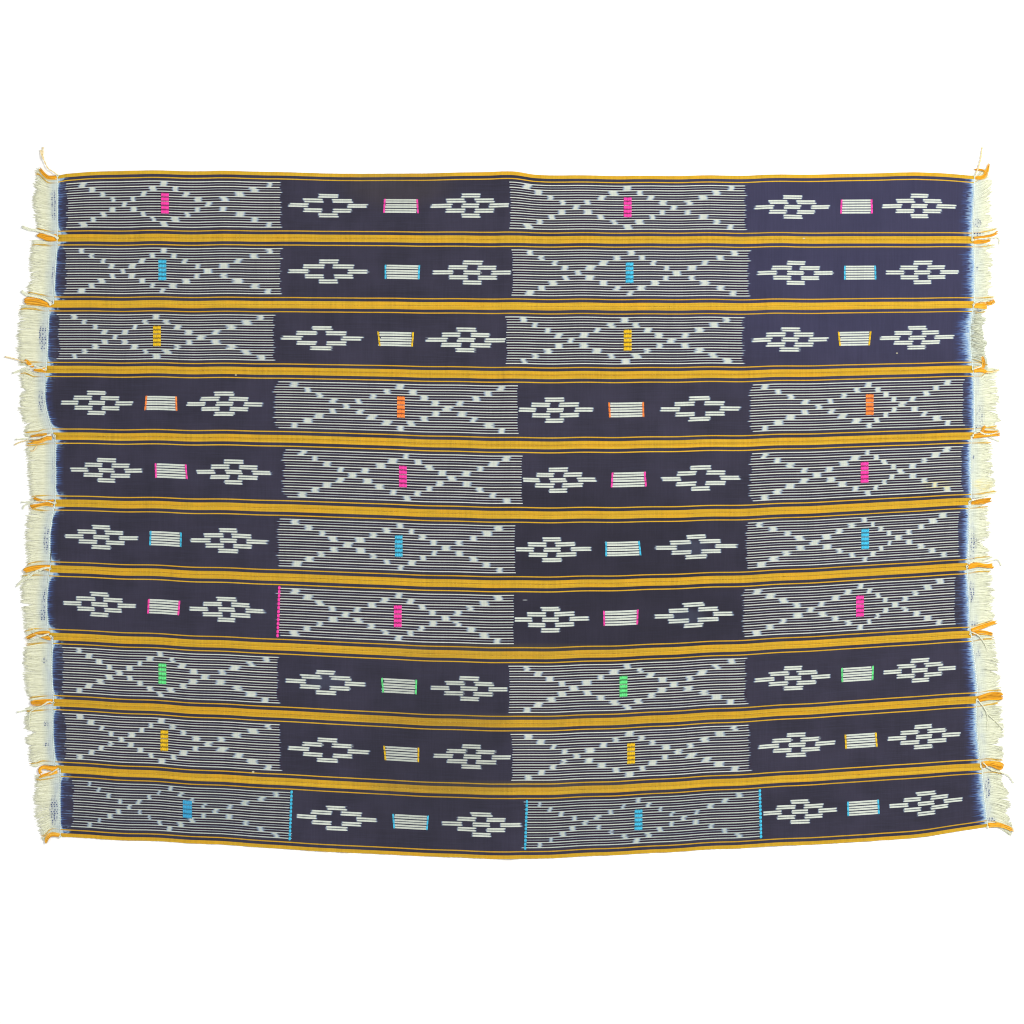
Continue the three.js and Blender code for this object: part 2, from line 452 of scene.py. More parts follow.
class Recipe:
    """A material made in nodes, with short calls for what its formulas read."""

    def __init__(self, name):
        self.material = bpy.data.materials.new(name)
        self.material.use_nodes = True
        self.tree = self.material.node_tree

    def node(self, kind, inputs=None, **settings):
        """A new node with its settings, and with its inputs fed by name or number."""
        made = self.tree.nodes.new(kind)
        for key, value in settings.items():
            setattr(made, key, value)
        for key, value in (inputs or {}).items():
            feed(self.tree, made.inputs[key], value)
        return made

    def parts_of(self, socket):
        made = self.node("ShaderNodeSeparateXYZ", {0: socket})
        return [Value(self.tree, output) for output in made.outputs]

    def stored(self, name):
        """An attribute of the mesh, as one socket."""
        return self.node("ShaderNodeAttribute", attribute_name=name).outputs["Vector"]

    def attribute(self, name):
        return self.parts_of(self.stored(name))

    def place_mm(self):
        coordinates = self.node("ShaderNodeTexCoord").outputs["Object"]
        return [part * (1 / MM) for part in self.parts_of(coordinates)]

    def vector(self, *parts):
        return self.node("ShaderNodeCombineXYZ", dict(enumerate(parts))).outputs[0]

    def chance(self, *place):
        """An even random number from 0 to 1 for each whole place."""
        inputs = {"Vector": self.vector(*place)}
        made = self.node("ShaderNodeTexWhiteNoise", inputs, noise_dimensions="3D")
        return Value(self.tree, made.outputs["Value"])

    def slip(self, reach, *place):
        """A random number for each whole place, up to half of reach either way."""
        return (self.chance(*place) - 0.5) * reach

    def cloud(self, x, y, z, detail):
        """Soft noise from 0 to 1 that changes about once for each unit of its place."""
        inputs = {"Vector": self.vector(x, y, z), "Scale": 1.0, "Detail": detail}
        made = self.node("ShaderNodeTexNoise", inputs, noise_dimensions="3D")
        return Value(self.tree, made.outputs[0])

    def blend(self, part, first, second):
        """The first colour turned into the second by a part from 0 to 1."""
        inputs = {0: part, 6: first, 7: second}
        return self.node("ShaderNodeMix", inputs, data_type="RGBA").outputs[2]

    def layered(self, tint, *layers):
        """A colour under layers, each with how much of it shows and its own colour."""
        for part, code in layers:
            tint = self.blend(part, tint, code)
        return tint

    def brighten(self, tint, amount):
        """A colour times a value."""
        inputs = {0: tint, "Scale": amount}
        return self.node("ShaderNodeVectorMath", inputs, operation="SCALE").outputs[0]

    def finish(self, tint, height, depth_mm, strength, rough, sheen):
        """The material, with its colour over a relief of this height, depth and strength."""
        relief = {"Strength": strength, "Distance": depth_mm * MM, "Height": height}
        surface = {
            "Base Color": tint,
            "Normal": self.node("ShaderNodeBump", relief).outputs[0],
            "Roughness": rough,
            "Specular IOR Level": 0.25,
            "Sheen Weight": sheen,
            "Sheen Roughness": 0.5,
        }
        for name, value in surface.items():
            feed(self.tree, self.tree.nodes["Principled BSDF"].inputs[name], value)
        return self.material


# ---- the woven cloth's material

# Marks of age on the cloth, as soft oval patches, with two dark patches of painted shade: x, y,
# wide and high from the middle to the edge, the colour that they lean to and how strongly.
PATCH_COLUMNS = "x y wide high tint strength"
PATCHES = table(
    PATCH_COLUMNS,
    # Painted shade along the upper edge, where it rolls away from the light.
    (-184, 520, 110, 60, "#4a4136", 0.25),
    (-6, -218, 300, 14, "#6f6238", 0.14),
    (-6, -327, 300, 14, "#6f6238", 0.1),
    (-6, -432, 280, 14, "#6f6238", 0.2),
    # Painted shade on the left flank of the middle fold, which faces away from the light.
    (-131, -373, 150, 190, "#1b1b22", 0.22),
    (279, -58, 36, 16, "#66738e", 0.13),
    (270, -166, 36, 16, "#66738e", 0.13),
    (-293, -265, 36, 16, "#66738e", 0.12),
    (452, 425, 2.6, 1.4, "#c9c2a2", 0.7),
    (-434, 212, 2.2, 1.6, "#c9c2a2", 0.6),
    (-407, -407, 2.6, 2, "#d9d2a8", 0.7),
    (597, 246, 2, 1.4, "#c9c2a2", 0.6),
    (17, -139, 5, 1, "#aeb4b8", 0.6),
)

# Yellow stains on the undyed cotton, one on the weaving and one on the fringe, and where the
# indigo is bluer and paler, and where it has stayed darkest.
WOVEN_STAIN, FRINGE_STAIN, BLUER, DARKER = table(
    PATCH_COLUMNS,
    (661, 40, 30, 12, "#d2cb92", 0.75),
    (731, 40, 20, 13, "#e6d47c", 0.7),
    (560, 420, 520, 300, "#38385a", 0.45),
    (130, -110, 330, 220, "#17151f", 0.4),
)


def oval(x, y, row):
    """A soft patch from a row's x, y, wide and high: 0 beyond its edge, up to its strength."""
    away = ((x - row["x"]) / row["wide"]).power(2.0) + ((y - row["y"]) / row["high"]).power(2.0)
    return away.rise(1.0, 0.1) * row["strength"]


def patches(x, y, *rows):
    """Patches as layers over a colour."""
    return [(oval(x, y, row), row["tint"]) for row in rows]


# The strips that lie turned end for end, and how near a woven end the dye is uneven.
TURNED_STRIPS = (4, 7)
NEAR_END_MM = 60.0
DESIGN_END_MM = 2 * REPEAT_MM
LATTICE_SOFT_MM = 1.8


def ikat(recipe, along, down, strip, to_left):
    """The dyed pattern: its white, its lattices, its dashes, its lit lines and its yarn groups."""
    # Which line or row of the stripes a point is on.
    below_first = down - FIRST_LINE_MM
    in_row = (below_first / ROW_PITCH_MM).wrapped(1.0)
    row = (below_first / ROW_PITCH_MM).floor() - MIDDLE_ROW
    from_middle = row.absolute()
    group = (below_first / (ROW_PITCH_MM / 4) + 0.5).floor()
    off_middle = (down - MIDDLE_MM).absolute()
    in_pattern = off_middle.under(ROW_PITCH_MM * (ROWS / 2 + 0.13))

    # Dyed yarns slip a little against each other, which makes the ragged ends of ikat.
    slow = recipe.cloud(along / 30.0, group * 5.3, strip * 9.1, 1.0)
    slipped = along + recipe.slip(2.0, group, strip, 3.0) + (slow - 0.5) * 3.0

    # Lattice: white lines from one ragged boundary to the other.
    lattice_place = (slipped + NEAR_END_MM).wrapped(REPEAT_MM) - NEAR_END_MM
    outer = off_middle.rise(27.0, 37.0)
    ragged = to_left.under(NEAR_END_MM) * 2.6 + 1.6
    is_turned = strip.within(TURNED_STRIPS[0] - 0.5, TURNED_STRIPS[1] + 0.5)
    start_slip = recipe.slip(ragged, group, strip, 11.0) - outer * 3.0
    end_slip = recipe.slip(2.6, group, strip, 17.0) + outer * (1.2 - is_turned * 3.6)
    starts = (lattice_place - start_slip).rise(-LATTICE_SOFT_MM, LATTICE_SOFT_MM)
    past_end = lattice_place - end_slip
    ends = past_end.rise(LATTICE_MM + LATTICE_SOFT_MM, LATTICE_MM - LATTICE_SOFT_MM)
    lattice = starts * ends * along.within(-20.0, DESIGN_END_MM - 40.0)

    # Blotches where the resist dyeing joins the lines of a row. They step out by one row at a
    # time, in zigzags of four limbs.
    step = (lattice_place - LATTICE_LEAD_MM) / LATTICE_STEP_MM
    cell = (step * MIDDLE_ROW + 0.5).floor()
    wanted = ((cell / MIDDLE_ROW).wrapped(2.0) - 1.0).absolute() * MIDDLE_ROW
    is_blotch = (from_middle - wanted).absolute().under(0.5)
    is_blotch = is_blotch * from_middle.under(MIDDLE_ROW + 0.5)
    is_blotch = is_blotch * cell.within(-0.5, 4 * MIDDLE_ROW + 0.5)
    aside = (step - cell / MIDDLE_ROW) * LATTICE_STEP_MM + recipe.slip(2.6, cell, row, strip)
    aside = (aside + recipe.slip(3.0, cell, group, strip + 40.0)).absolute()
    half = recipe.chance(cell, row, strip + 80.0) * 2.6 + 2.9 - strip.over(ODD_STRIP - 0.5) * 1.6
    blotch = (aside - half).rise(3.4, -2.6) * is_blotch * lattice

    # Dashes in the plain panels. Only the first diamond of a strip has an open middle.
    panel_place = (slipped + recipe.slip(2.2, group, strip, 61.0)).wrapped(REPEAT_MM)
    in_second = panel_place.over(FIRST_GAP_MM)
    in_third = panel_place.over(SECOND_GAP_MM)
    centre = in_second * (RECTANGLE_MM - FIRST_DIAMOND_MM)
    centre = centre + in_third * (SECOND_DIAMOND_MM - RECTANGLE_MM) + FIRST_DIAMOND_MM
    from_centre = (panel_place - centre).absolute()
    is_rectangle = in_second - in_third
    is_open = (1.0 - in_second) * along.under(REPEAT_MM)
    dash_centre = (2.0 - from_middle) * DASH_STEP_MM
    dash_half = recipe.slip(2.0, row, in_second + in_third, strip + 7.0) + DASH_HALF_MM
    diamond = ((from_centre - dash_centre).absolute() - dash_half).rise(2.2, -1.8)
    core = (from_centre - (DASH_HALF_MM - 1.5)).rise(1.0, -1.0)
    core = core * from_middle.under(0.5) * (1.0 - is_open)
    diamond = (diamond * from_middle.under(2.5)).most(core) * (1.0 - is_rectangle)
    rectangle = (from_centre - RECTANGLE_HALF_MM).rise(0.9, -0.9) * from_middle.under(1.5)
    in_panel = panel_place.over(LATTICE_MM + 4.0) * along.within(-1.0, DESIGN_END_MM - 2.0)
    dashes = diamond.most(rectangle * is_rectangle) * in_panel

    # Each row is a bright line, a dark yarn group, a thin dim line and a dark group.
    off_dark = (in_row - 0.27).absolute().least((in_row - 0.73).absolute())
    dash_line = off_dark.rise(0.19, 0.14)
    dark_group = off_dark.rise(0.195, 0.155)
    thin_line = (in_row - 0.5).absolute().under(0.25)
    faded = recipe.chance(group, strip, 29.0) * 0.15 + 0.85
    lines = (1.0 - dark_group) * lattice * (1.0 - thin_line * 0.25) * faded
    white = lines.most(dash_line * dashes * (1.0 - lattice))
    white = white.most(blotch * (1.0 - dark_group * 0.2)) * in_pattern
    return white, lattice * in_pattern, dashes, (1.0 - dark_group) * in_pattern, group


def bled_ends(recipe, along, down, strip, reach, lit, group):
    """The haze of dye at the woven ends, and the layers of colour where it has bled."""
    to_left, to_right, _ = reach
    to_end = to_left.least(to_right)
    at_right = to_right.under(NEAR_END_MM)
    comb_mm, bleed_mm, corner_mm = recipe.attribute("ends")
    from_edge = down.least(STRIP_WIDTH_MM - down)
    corner = from_edge.rise(27.0, 4.0).power(1.5)

    # Pale combs of warp, with a glow around their teeth.
    luck = recipe.chance((down / TOOTH_MM).floor(), strip, at_right + 23.0)
    groups = recipe.cloud(down / 9.0, strip * 7.7, at_right * 5.0, 1.0).rise(0.3, 0.7)
    spike = (down / TOOTH_MM).off_half().rise(0.42, 0.12) * (luck * 0.7 + 0.3) * (groups + 0.35)
    bare_mm = corner_mm * corner + 0.5
    comb_length = comb_mm * 0.8 * spike + bare_mm
    comb = to_end.rise(comb_length + 0.8, comb_length * 0.45)
    glow_length = (comb_mm * 1.3 + 3.5) * spike + bare_mm
    glow = to_end.rise(glow_length * 1.4 + 1.0, glow_length * 0.5)
    smudge = recipe.cloud(to_end / 8.0, down / 4.0 + strip * 3.7, at_right * 9.0, 1.0)
    smudge = smudge.rise(0.4, 0.62) * to_end.rise(21.0, 7.0) * corner * (1.0 - at_right * 0.6)
    comb = comb.most(smudge * 0.7)

    # Dye that has run in wisps along the yarns, and lines that show on before the lattice.
    wisps = recipe.cloud(to_end / 12.0, down / 1.8 + strip * 3.7, at_right * 9.0, 2.0)
    haze = to_end.rise(bleed_mm, bleed_mm * 0.25) * wisps.rise(0.3, 0.68, 0.1, 1.0)
    bulge = at_right * from_edge.rise(6.0, 34.0, 0.45, 1.0) * wisps.rise(0.3, 0.62, 0.25, 1.15)
    pale = to_end.rise(bleed_mm * bulge * 0.8, 1.0)
    bright = to_end.rise(bleed_mm * bulge * 0.52, 0.8)
    ghost = lit * along.under(1.0) * to_end.rise(26.0, 20.0)
    ghost = ghost * recipe.chance(group, strip, 51.0).rise(0.2, 1.0) * wisps.rise(0.35, 0.55)
    layers = (
        (haze * 0.8, "#343b62"),
        (pale * at_right * 0.75, "#465c95"),
        (bright * at_right * 0.85, "#a4c0d6"),
        (ghost * 0.7, "#6f88b0"),
        (glow * 0.65, "#4f71ad"),
        (comb.rise(0.0, 0.6) * 0.75, "#8fb1cd"),
        (comb.rise(0.5, 1.0) * 0.7, "#c6d2cc"),
    )
    return haze, layers


def woven_material():
    recipe = Recipe("indigo_ikat_weave")
    along, down, strip = recipe.attribute("chart")
    reach = recipe.attribute("reach")
    x, y, _ = recipe.place_mm()
    yarn = (down / YARN_PITCH_MM).floor()
    white, lattice, dashes, lit, group = ikat(recipe, along, down, strip, reach[0])
    haze, bled = bled_ends(recipe, along, down, strip, reach, lit, group)

    # Cotton, with streaks along its yarns and soft clouds of wear.
    worn = recipe.cloud(x / 70.0, y / 70.0, strip, 3.0)
    streak = recipe.cloud(along / 55.0, yarn * 1.7, strip * 3.3, 2.0)
    indigo = recipe.layered(
        "#272533",
        (worn.rise(0.3, 0.7), "#312e3f"),
        (streak.rise(0.35, 0.75) * 0.45, "#39384b"),
        *patches(x, y, BLUER, DARKER),
        *bled,
        (lattice * 0.7, "#230e22"),
    )
    undyed = recipe.layered(
        "#b9bfb1",
        (recipe.chance(yarn, strip, 31.0), "#cbcfc2"),
        (streak.rise(0.5, 0.8) * 0.5, "#a6ada8"),
        (dashes * 0.3, "#ccd6cd"),
        (strip.over(ODD_STRIP - 0.5) * lattice * 0.35, "#9cab9f"),
        *patches(x, y, WOVEN_STAIN),
        (haze * 0.3, "#9fb2cc"),
    )
    gold = recipe.layered(
        "#b58a19",
        (recipe.chance(yarn, strip, 47.0), "#d0a729"),
        (streak.rise(0.4, 0.8) * 0.5, "#9c7a16"),
        (worn.rise(0.55, 0.35) * 0.35, "#d69c1a"),
    )

    # Gold warp stripes at both selvedges.
    from_edge = down.least(STRIP_WIDTH_MM - down)
    band = from_edge.rise(GOLD_BAND_MM + 0.3, GOLD_BAND_MM - 0.3)
    half = (GOLD_LINE_MM[1] - GOLD_LINE_MM[0]) / 2
    gold_line = (from_edge - GOLD_LINE_MIDDLE_MM).absolute().rise(half + 0.25, half - 0.25)
    cotton = recipe.layered(
        indigo,
        (white.rise(0.0, 0.6), "#7b90ae"),
        (white.rise(0.3, 0.95), undyed),
        (band.most(gold_line), gold),
        *patches(x, y, *PATCHES),
    )
    weft_streak = recipe.cloud(x / 2.2, y / 45.0, 5.0, 1.0)
    cotton = recipe.brighten(cotton, weft_streak.rise(0.2, 0.8, 0.93, 1.06))

    # Warp yarns stand up as fine ridges, and the hidden weft shows as ribs across them.
    ridge = (down / YARN_PITCH_MM).off_half()
    rib = (x * (2 * math.pi / 1.3) + yarn * math.pi).sine()
    slub = recipe.cloud(x / 9.0, yarn * 2.1, 2.0, 2.0)
    height = rib * 0.25 - ridge * 1.1 + slub * 0.7
    rough = streak.rise(0.2, 0.8, 0.82, 0.95)
    return recipe.finish(cotton, height, depth_mm=0.3, strength=0.55, rough=rough, sheen=0.12)


# ---- the woven strips

COLUMNS = 620
EDGE_ROWS_MM = [0, 0.4, 1.1, 2.4, 5, 9, 14, 21, 30, 41]
UNDER_ROWS = [0, 0.25, 0.5, 0.75, 1]
UV_RUN = (0.005, 0.995)
UV_TOP = (0.4, 0.985)
UV_UNDER = (0.015, 0.34)


def strip_points(strip, rows, height, uv_band):
    """Points of one face of a strip, with their charts, reaches, ends and map, row by row."""
    across, part = np.meshgrid(rows, np.linspace(0, 1, COLUMNS + 1), indexing="ij")
    left = strip.end_x(0, across)
    right = strip.end_x(1, across)
    x = left + (right - left) * part
    y = strip.y_at(x, across)
    number = np.full(x.shape, float(strip.number))
    comb = np.interp(part, [0, 1], strip.facts["comb"])
    bleed = np.interp(part, [0, 1], strip.facts["bleed"])
    corner = np.interp(1 - across, [0, 1], strip.facts["corner"]) * (1 - part) + 3 * part
    grids = (
        (x, y, height(x, y, across)),
        (strip.chart(x), (1 - across) * STRIP_WIDTH_MM, number),
        (x - left, right - x, np.zeros(x.shape)),
        (comb, bleed, corner),
        (np.interp(part, [0, 1], UV_RUN), np.interp(across, [0, 1], uv_band)),
    )
    return [np.stack(grid, axis=-1).reshape(-1, len(grid)) for grid in grids]


def woven_strip(strip, material):
    """A strip as a thin shell: its face, its underside, two long edges and two ends."""
    edge = np.array(EDGE_ROWS_MM) / STRIP_WIDTH_MM
    top_rows = np.concatenate([edge, [0.5], 1 - edge[::-1]])
    top = strip_points(strip, top_rows, strip.top, UV_TOP)
    under = strip_points(strip, UNDER_ROWS, strip.underside, UV_UNDER)
    points, chart, reach, ends, uv = (np.concatenate(pair) for pair in zip(top, under))
    index = np.arange(len(points)).reshape(-1, COLUMNS + 1)
    top_index, under_index = np.split(index, [len(top_rows)])
    faces = [
        quads(top_index),
        quads(under_index)[:, ::-1],
        quads(np.stack([under_index[0], top_index[0]])),
        quads(np.stack([top_index[-1], under_index[-1]])),
        np.concatenate([top_index[:, 0], under_index[::-1, 0]])[None, :],
        np.concatenate([under_index[:, -1], top_index[::-1, -1]])[None, :],
    ]
    piece = make_mesh(f"woven_strip_{strip.number:02d}", points, faces, material)
    give_vectors(piece, "chart", chart)
    give_vectors(piece, "reach", reach)
    give_vectors(piece, "ends", ends)
    give_uv(piece, uv[corner_vertices(piece)])
    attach(piece, "root")
    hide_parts(f"strip_{strip.number:02d}")
    return piece


weave = woven_material()
woven = [woven_strip(strip, weave) for strip in strips]


# ---- threads

LOWEST_THREAD_MM = 0.02


class Threads:
    """Many threads gathered into one piece, each a tube with this many sides."""

    def __init__(self, name, sides):
        self.name = name
        self.sides = sides
        self.points = []
        self.faces = []
        self.caps = []
        self.facts = []
        self.tints = []
        self.count = 0

    def add(self, paths, radii, tint, luck, squash=1.0):
        """paths is (threads, places, 3). radii and tint fit it, and luck is one per thread."""
        threads, places, _ = paths.shape
        tangent = np.gradient(paths, axis=1)
        tangent /= np.linalg.norm(tangent, axis=2, keepdims=True) + 1e-9
        side = np.cross(tangent, [0, 0, 1.0])
        side /= np.linalg.norm(side, axis=2, keepdims=True) + 1e-9
        upward = np.cross(side, tangent)
        turn = (np.arange(self.sides) / self.sides * 2 * math.pi)[:, None]
        ring = side[:, :, None] * np.cos(turn) + upward[:, :, None] * np.sin(turn) * squash
        radii = np.broadcast_to(radii, (threads, places))
        points = paths[:, :, None] + ring * radii[:, :, None, None]
        points[..., 2] = np.maximum(points[..., 2], LOWEST_THREAD_MM)
        self.points.append(points.reshape(-1, 3))

        index = self.count + np.arange(threads * places * self.sides)
        index = index.reshape(threads, places, self.sides)
        beside = np.roll(index, -1, axis=2)
        corners = (index[:, :-1], index[:, 1:], beside[:, 1:], beside[:, :-1])
        self.faces.append(np.stack(corners, axis=-1).reshape(-1, 4))
        self.caps += [index[:, 0], index[:, -1, ::-1]]
        self.count += index.size

        facts = np.zeros(points.shape)
        step = np.linalg.norm(np.diff(paths, axis=1), axis=2)
        facts[:, 1:, :, 0] = np.cumsum(step, axis=1)[:, :, None]
        facts[..., 1] = np.arange(self.sides) / self.sides
        facts[..., 2] = np.broadcast_to(luck, threads)[:, None, None]
        self.facts.append(facts.reshape(-1, 3))
        tint = tint[:, None] if tint.ndim == 2 else tint
        self.tints.append(np.broadcast_to(tint[..., None, :], points.shape).reshape(-1, 3))

    def build(self, material):
        points = np.concatenate(self.points)
        faces = [np.concatenate(self.faces), np.concatenate(self.caps)]
        piece = make_mesh(self.name, points, faces, material)
        give_vectors(piece, "yarn", np.concatenate(self.facts))
        give_vectors(piece, "tint", np.concatenate(self.tints))
        low = points.min(axis=0)
        flat = 0.01 + 0.98 * ((points - low) / (points.max(axis=0) - low))[:, :2]
        give_uv(piece, flat[corner_vertices(piece)])
        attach(piece, "root")
        return piece


def thread_material(name, twist_mm, depth_mm, dirt, sheen):
    """Cotton yarn in its thread's own colour, with the twist of its plies in its relief and as
    painted shading in its colour.
    """
    recipe = Recipe(name)
    run, around, luck = recipe.attribute("yarn")
    x, y, z = recipe.place_mm()
    ply = ((run / twist_mm + around) * (2 * math.pi)).sine()
    fuzz = recipe.cloud(x / 0.9, y / 0.9, z / 0.9, 3.0)
    patchy = recipe.cloud(x / 7.0, y / 7.0, luck * 30.0, 2.0)
    # The twist of the plies also goes into the colour as faint light and dark bands: painted
    # shading of the twist.
    shade = (luck - 0.5) * 0.16 + ply * 0.05 + 0.97 + (patchy - 0.5) * 0.3
    tint = recipe.brighten(recipe.stored("tint"), shade)
    tint = recipe.blend(patchy.rise(0.5, 0.8) * dirt, tint, "#8d8a6a")
    rough = fuzz.rise(0.2, 0.8, 0.8, 0.96)
    return recipe.finish(tint, ply * 0.5 + fuzz * 0.6, depth_mm, 0.6, rough, sheen)


def bare(code):
    """A hex colour as linear red, green and blue."""
    return np.array(colour(code)[:3])


def wander(run, low, high, rng, count):
    """How far each of some yarns strays aside along its run, by low to high at most."""
    reach = rng.uniform(low, high, (count, 1))
    pace = rng.uniform(3, 8, (count, 1))
    return reach * np.sin(run * pace + rng.uniform(0, 6.3, (count, 1)))


# ---- the fringe

# Each end has flat, untwisted yarns below, round ones above, and a few fine hairs across them.
# stray is how far a yarn wanders, and further how much longer it is than the rest.
FRINGE_LAYERS = table(
    "yarns radius squash height stray further",
    (60, 1.05, 0.35, 0.45, 0.6, -2.2),
    (120, 0.55, 1.0, 1.1, 0.5, 0.2),
    (34, 0.3, 1.0, 1.9, 2.4, 0.8),
)
FRINGE_PLACES = 7
FRINGE_OUTSET_MM = 0.6
ROOT_DEPTH_MM = 1.2

# Yarns cling together in locks. width is how wide they are, and pull is how much they narrow.
# reach and lean are how unevenly they end and slant, and round is how far their sides fall
# back from the tip. curl is how far a lock's tip turns aside, and stray_curl a yarn's. loft and
# bounce are how far yarns rise, tint is their colour, aged is how much browner some yarns
# are towards their tips, and fresh is how much lighter the tips are painted, as
# painted light against the shade among them. The left end is neater and paler.
FRINGE_LOCKS = table(
    "side width pull reach lean round curl stray_curl loft bounce tint aged fresh",
    ("left", (4, 12), (0.0, 0.1), 0.9, 1.8, 0.3, 0.5, 0.2, 0.14, 0.1, "#e1e2c9", 0.0, 0.14),
    ("right", (4, 11), (0.0, 0.28), 2.0, 2.2, 1.0, 2.4, 0.6, 0.3, 0.3, "#d9dcc5", 0.24, 0.07),
)
FOLDED_BACK = {"strip": 3, "side": "right", "places": 11, "turn": 0.55, "curl": 5.0}
TUFT_PULL_MM = 22.0

# Where a lock of the fringe has worn short: Y of its middle, half its height, and how short.
NOTCHES = table(
    "side y half short",
    ("left", 185.5, 2.2, 9),
    ("left", 140, 1.8, 7),
    ("left", -147, 2.4, 16),
    ("left", -345, 4.0, 12),
    ("left", -368, 2.0, 5),
    ("right", 447, 4.0, 10),
    ("right", 405, 3.5, 8),
    ("right", 112, 4.0, 9),
    ("right", 60, 3.0, 8),
    ("right", -46, 4.5, 12),
)

# Where indigo has crept past the cord into the yarns, as short dark ticks.
CREEPS = table(
    "x y wide high strength",
    (-718, 477, 6, 30, 0.6),
    (-721, 494, 4, 3, 1.0),
    (-718, 368, 5, 26, 0.45),
    (-735, 270, 8, 26, 1.0),
    (-738, 170, 6, 26, 0.5),
    (-718, 68, 5, 24, 0.3),
    (-729, -44, 7, 28, 0.6),
    (-732, -144, 6, 30, 0.6),
    (-735, -162, 6, 12, 1.0),
    (-733, -233, 5, 7, 0.5),
    (-730, -332, 6, 5, 0.6),
    (-730, -364, 6, 5, 0.6),
    (-718, -467, 8, 28, 1.0),
    (722, 449, 8, 8, 0.8),
    (724, 432, 12, 4, 0.8),
    (722, 379, 4, 4, 0.5),
    (725, 313, 6, 4, 0.7),
    (727, 150, 9, 20, 0.35),
    (724, 132, 8, 4, 0.7),
    (717, 84, 3, 4, 0.6),
    (716, -49, 7, 22, 0.5),
    (713, -72, 8, 4, 1.0),
    (713, -127, 6, 22, 0.7),
    (716, -175, 8, 5, 1.0),
    (724, -220, 5, 12, 0.35),
    (728, -318, 5, 9, 0.35),
    (739, -431, 5, 26, 0.8),
    (744, -481, 10, 4, 1.0),
)

# Gold selvedge yarns left long at the seams and corners. seam 0 is the cloth's upper edge and
# 10 its lower edge. A spine's places are how far out and up they lie from the seam's woven
# end, and how wide the bundle is there.
TUFTS = {
    "left": table(
        "seam spine",
        (0, [(1, -3, 5.5), (10.5, -3.5, 5.5), (16.5, -2.5, 5.5), (23, 4.5, 4.5), (29, 13, 3)]),
        (1, [(1, 0.5, 10), (12, -0.5, 9.5), (23, 2.5, 8), (32.5, 5, 4)]),
        (2, [(1, -1.5, 6), (9, -1, 7.5), (22, 2.5, 11), (36.5, 4.5, 11), (42.5, 3.5, 6)]),
        (3, [(0, -1.5, 8), (9.5, -1.5, 6), (19, -1, 2.5)]),
        (3, [(19, 3.5, 2.5), (25, 8, 4.5), (30, 12, 4.5), (33, 14, 3)]),
        (4, [(4, -3.5, 6), (13.5, -4, 6), (23.5, -8.5, 6), (42, -10, 5.5)]),
        (4, [(12, 3, 2.5), (26, 1, 3), (38, -1, 2.5)]),
        (5, [(3, -2.5, 5), (14.5, -2, 4.5), (29.5, -4.5, 5.5), (39, -6.5, 6)]),
        (5, [(2, 4, 3), (14.5, 2.5, 2.5), (28, 5.5, 3), (34, 8.5, 2.5)]),
        (6, [(0.5, 1, 9.5), (10, 2, 7), (24, 1, 7), (36.5, -2, 8), (40.5, -4.5, 4.5)]),
        (7, [(1.5, 5.5, 4.5), (11, 6, 4.5), (20.5, 4.5, 4.5), (29.5, 0.5, 5.5), (39, -4, 4.5)]),
        (7, [(0, -3, 6), (8, -2, 4), (15, -1, 1.5)]),
        (8, [(1, 1.5, 7), (14, 0.5, 8), (27.5, -0.5, 8), (35.5, -1, 5.5)]),
        (9, [(0.5, 0, 8), (13, 1.5, 6), (23.5, 3, 5), (28.5, -2, 4.5), (25.5, -9, 4)]),
        (9, [(1, -4.5, 4), (11, -7, 4), (22, -10, 3.5), (30, -13, 2)]),
        (10, [(1, 2.5, 5.5), (14, 3.5, 5), (20.5, -2, 6), (23, -10.5, 3.5)]),
    ),
    "right": table(
        "seam spine",
        (0, [(1, -3, 5.5), (12, -2.5, 5.5), (17, 2.5, 5.5), (20.5, 11, 4), (22, 19.5, 2)]),
        (0, [(17, 2, 3), (15, 7.5, 2.5), (8, 9.5, 2.5), (-1, 9, 2)]),
        (1, [(2, 3, 3), (12, 4, 3), (21.5, 5.5, 3), (34, 9, 3), (40, 13.5, 2.5)]),
        (1, [(1, -3, 5.5), (12, -3, 5.5), (21.5, -2, 4.5), (29, 0.5, 2.5)]),
        (2, [(1, -1, 6.5), (8.5, -1.5, 8), (16.5, -1.5, 10), (21, -1, 11)]),
        (2, [(20.5, 2.5, 4.5), (26, 2.5, 6), (30.5, 5, 6), (33.5, 6.5, 4)]),
        (3, [(1, -1, 8.5), (9.5, -1, 8), (17.5, -3, 5.5), (23.5, -6, 2)]),
        (3, [(14, -1.5, 3), (16.5, 6.5, 4.5), (15.5, 14, 4.5), (13.5, 20.5, 2.5)]),
        (4, [(0.5, -1, 7), (12.5, 1, 6), (28.5, 1.5, 3.5), (43, 2.5, 4)]),
        (4, [(10, 3.5, 3), (15.5, 8.5, 3.5), (17, 12.5, 3.5), (19.5, 16, 2)]),
        (4, [(15, 7, 2.5), (27.5, 6.5, 3), (40, 8, 2)]),
        (5, [(1.5, -2, 7.5), (12.5, -1, 6.5), (23, 1, 7.5), (33.5, 3, 7)]),
        (6, [(1, -0.5, 7.5), (16, 3, 6.5), (29.5, 1, 6), (41.5, 1.5, 8.5)]),
        (7, [(1, 6, 4.5), (8.5, 9, 5.5), (19.5, 12.5, 6), (30.5, 16.5, 5.5), (41.5, 20, 5.5)]),
        (7, [(2.5, 1, 6), (13.5, 3.5, 6), (24.5, 2.5, 5.5), (36, -0.5, 4.5)]),
        (8, [(1.5, 1, 8.5), (11, 3.5, 10), (22, 5.5, 12), (33, 5.5, 12.5), (40.5, 6, 8.5)]),
        (9, [(1.5, 3, 8.5), (11, 5.5, 8), (20.5, 4, 10.5), (29.5, 1.5, 11), (34.5, 0, 6)]),
        (10, [(0, 3, 7), (14, 3, 6), (28, 0, 5), (41, -6, 4)]),
    ),
}

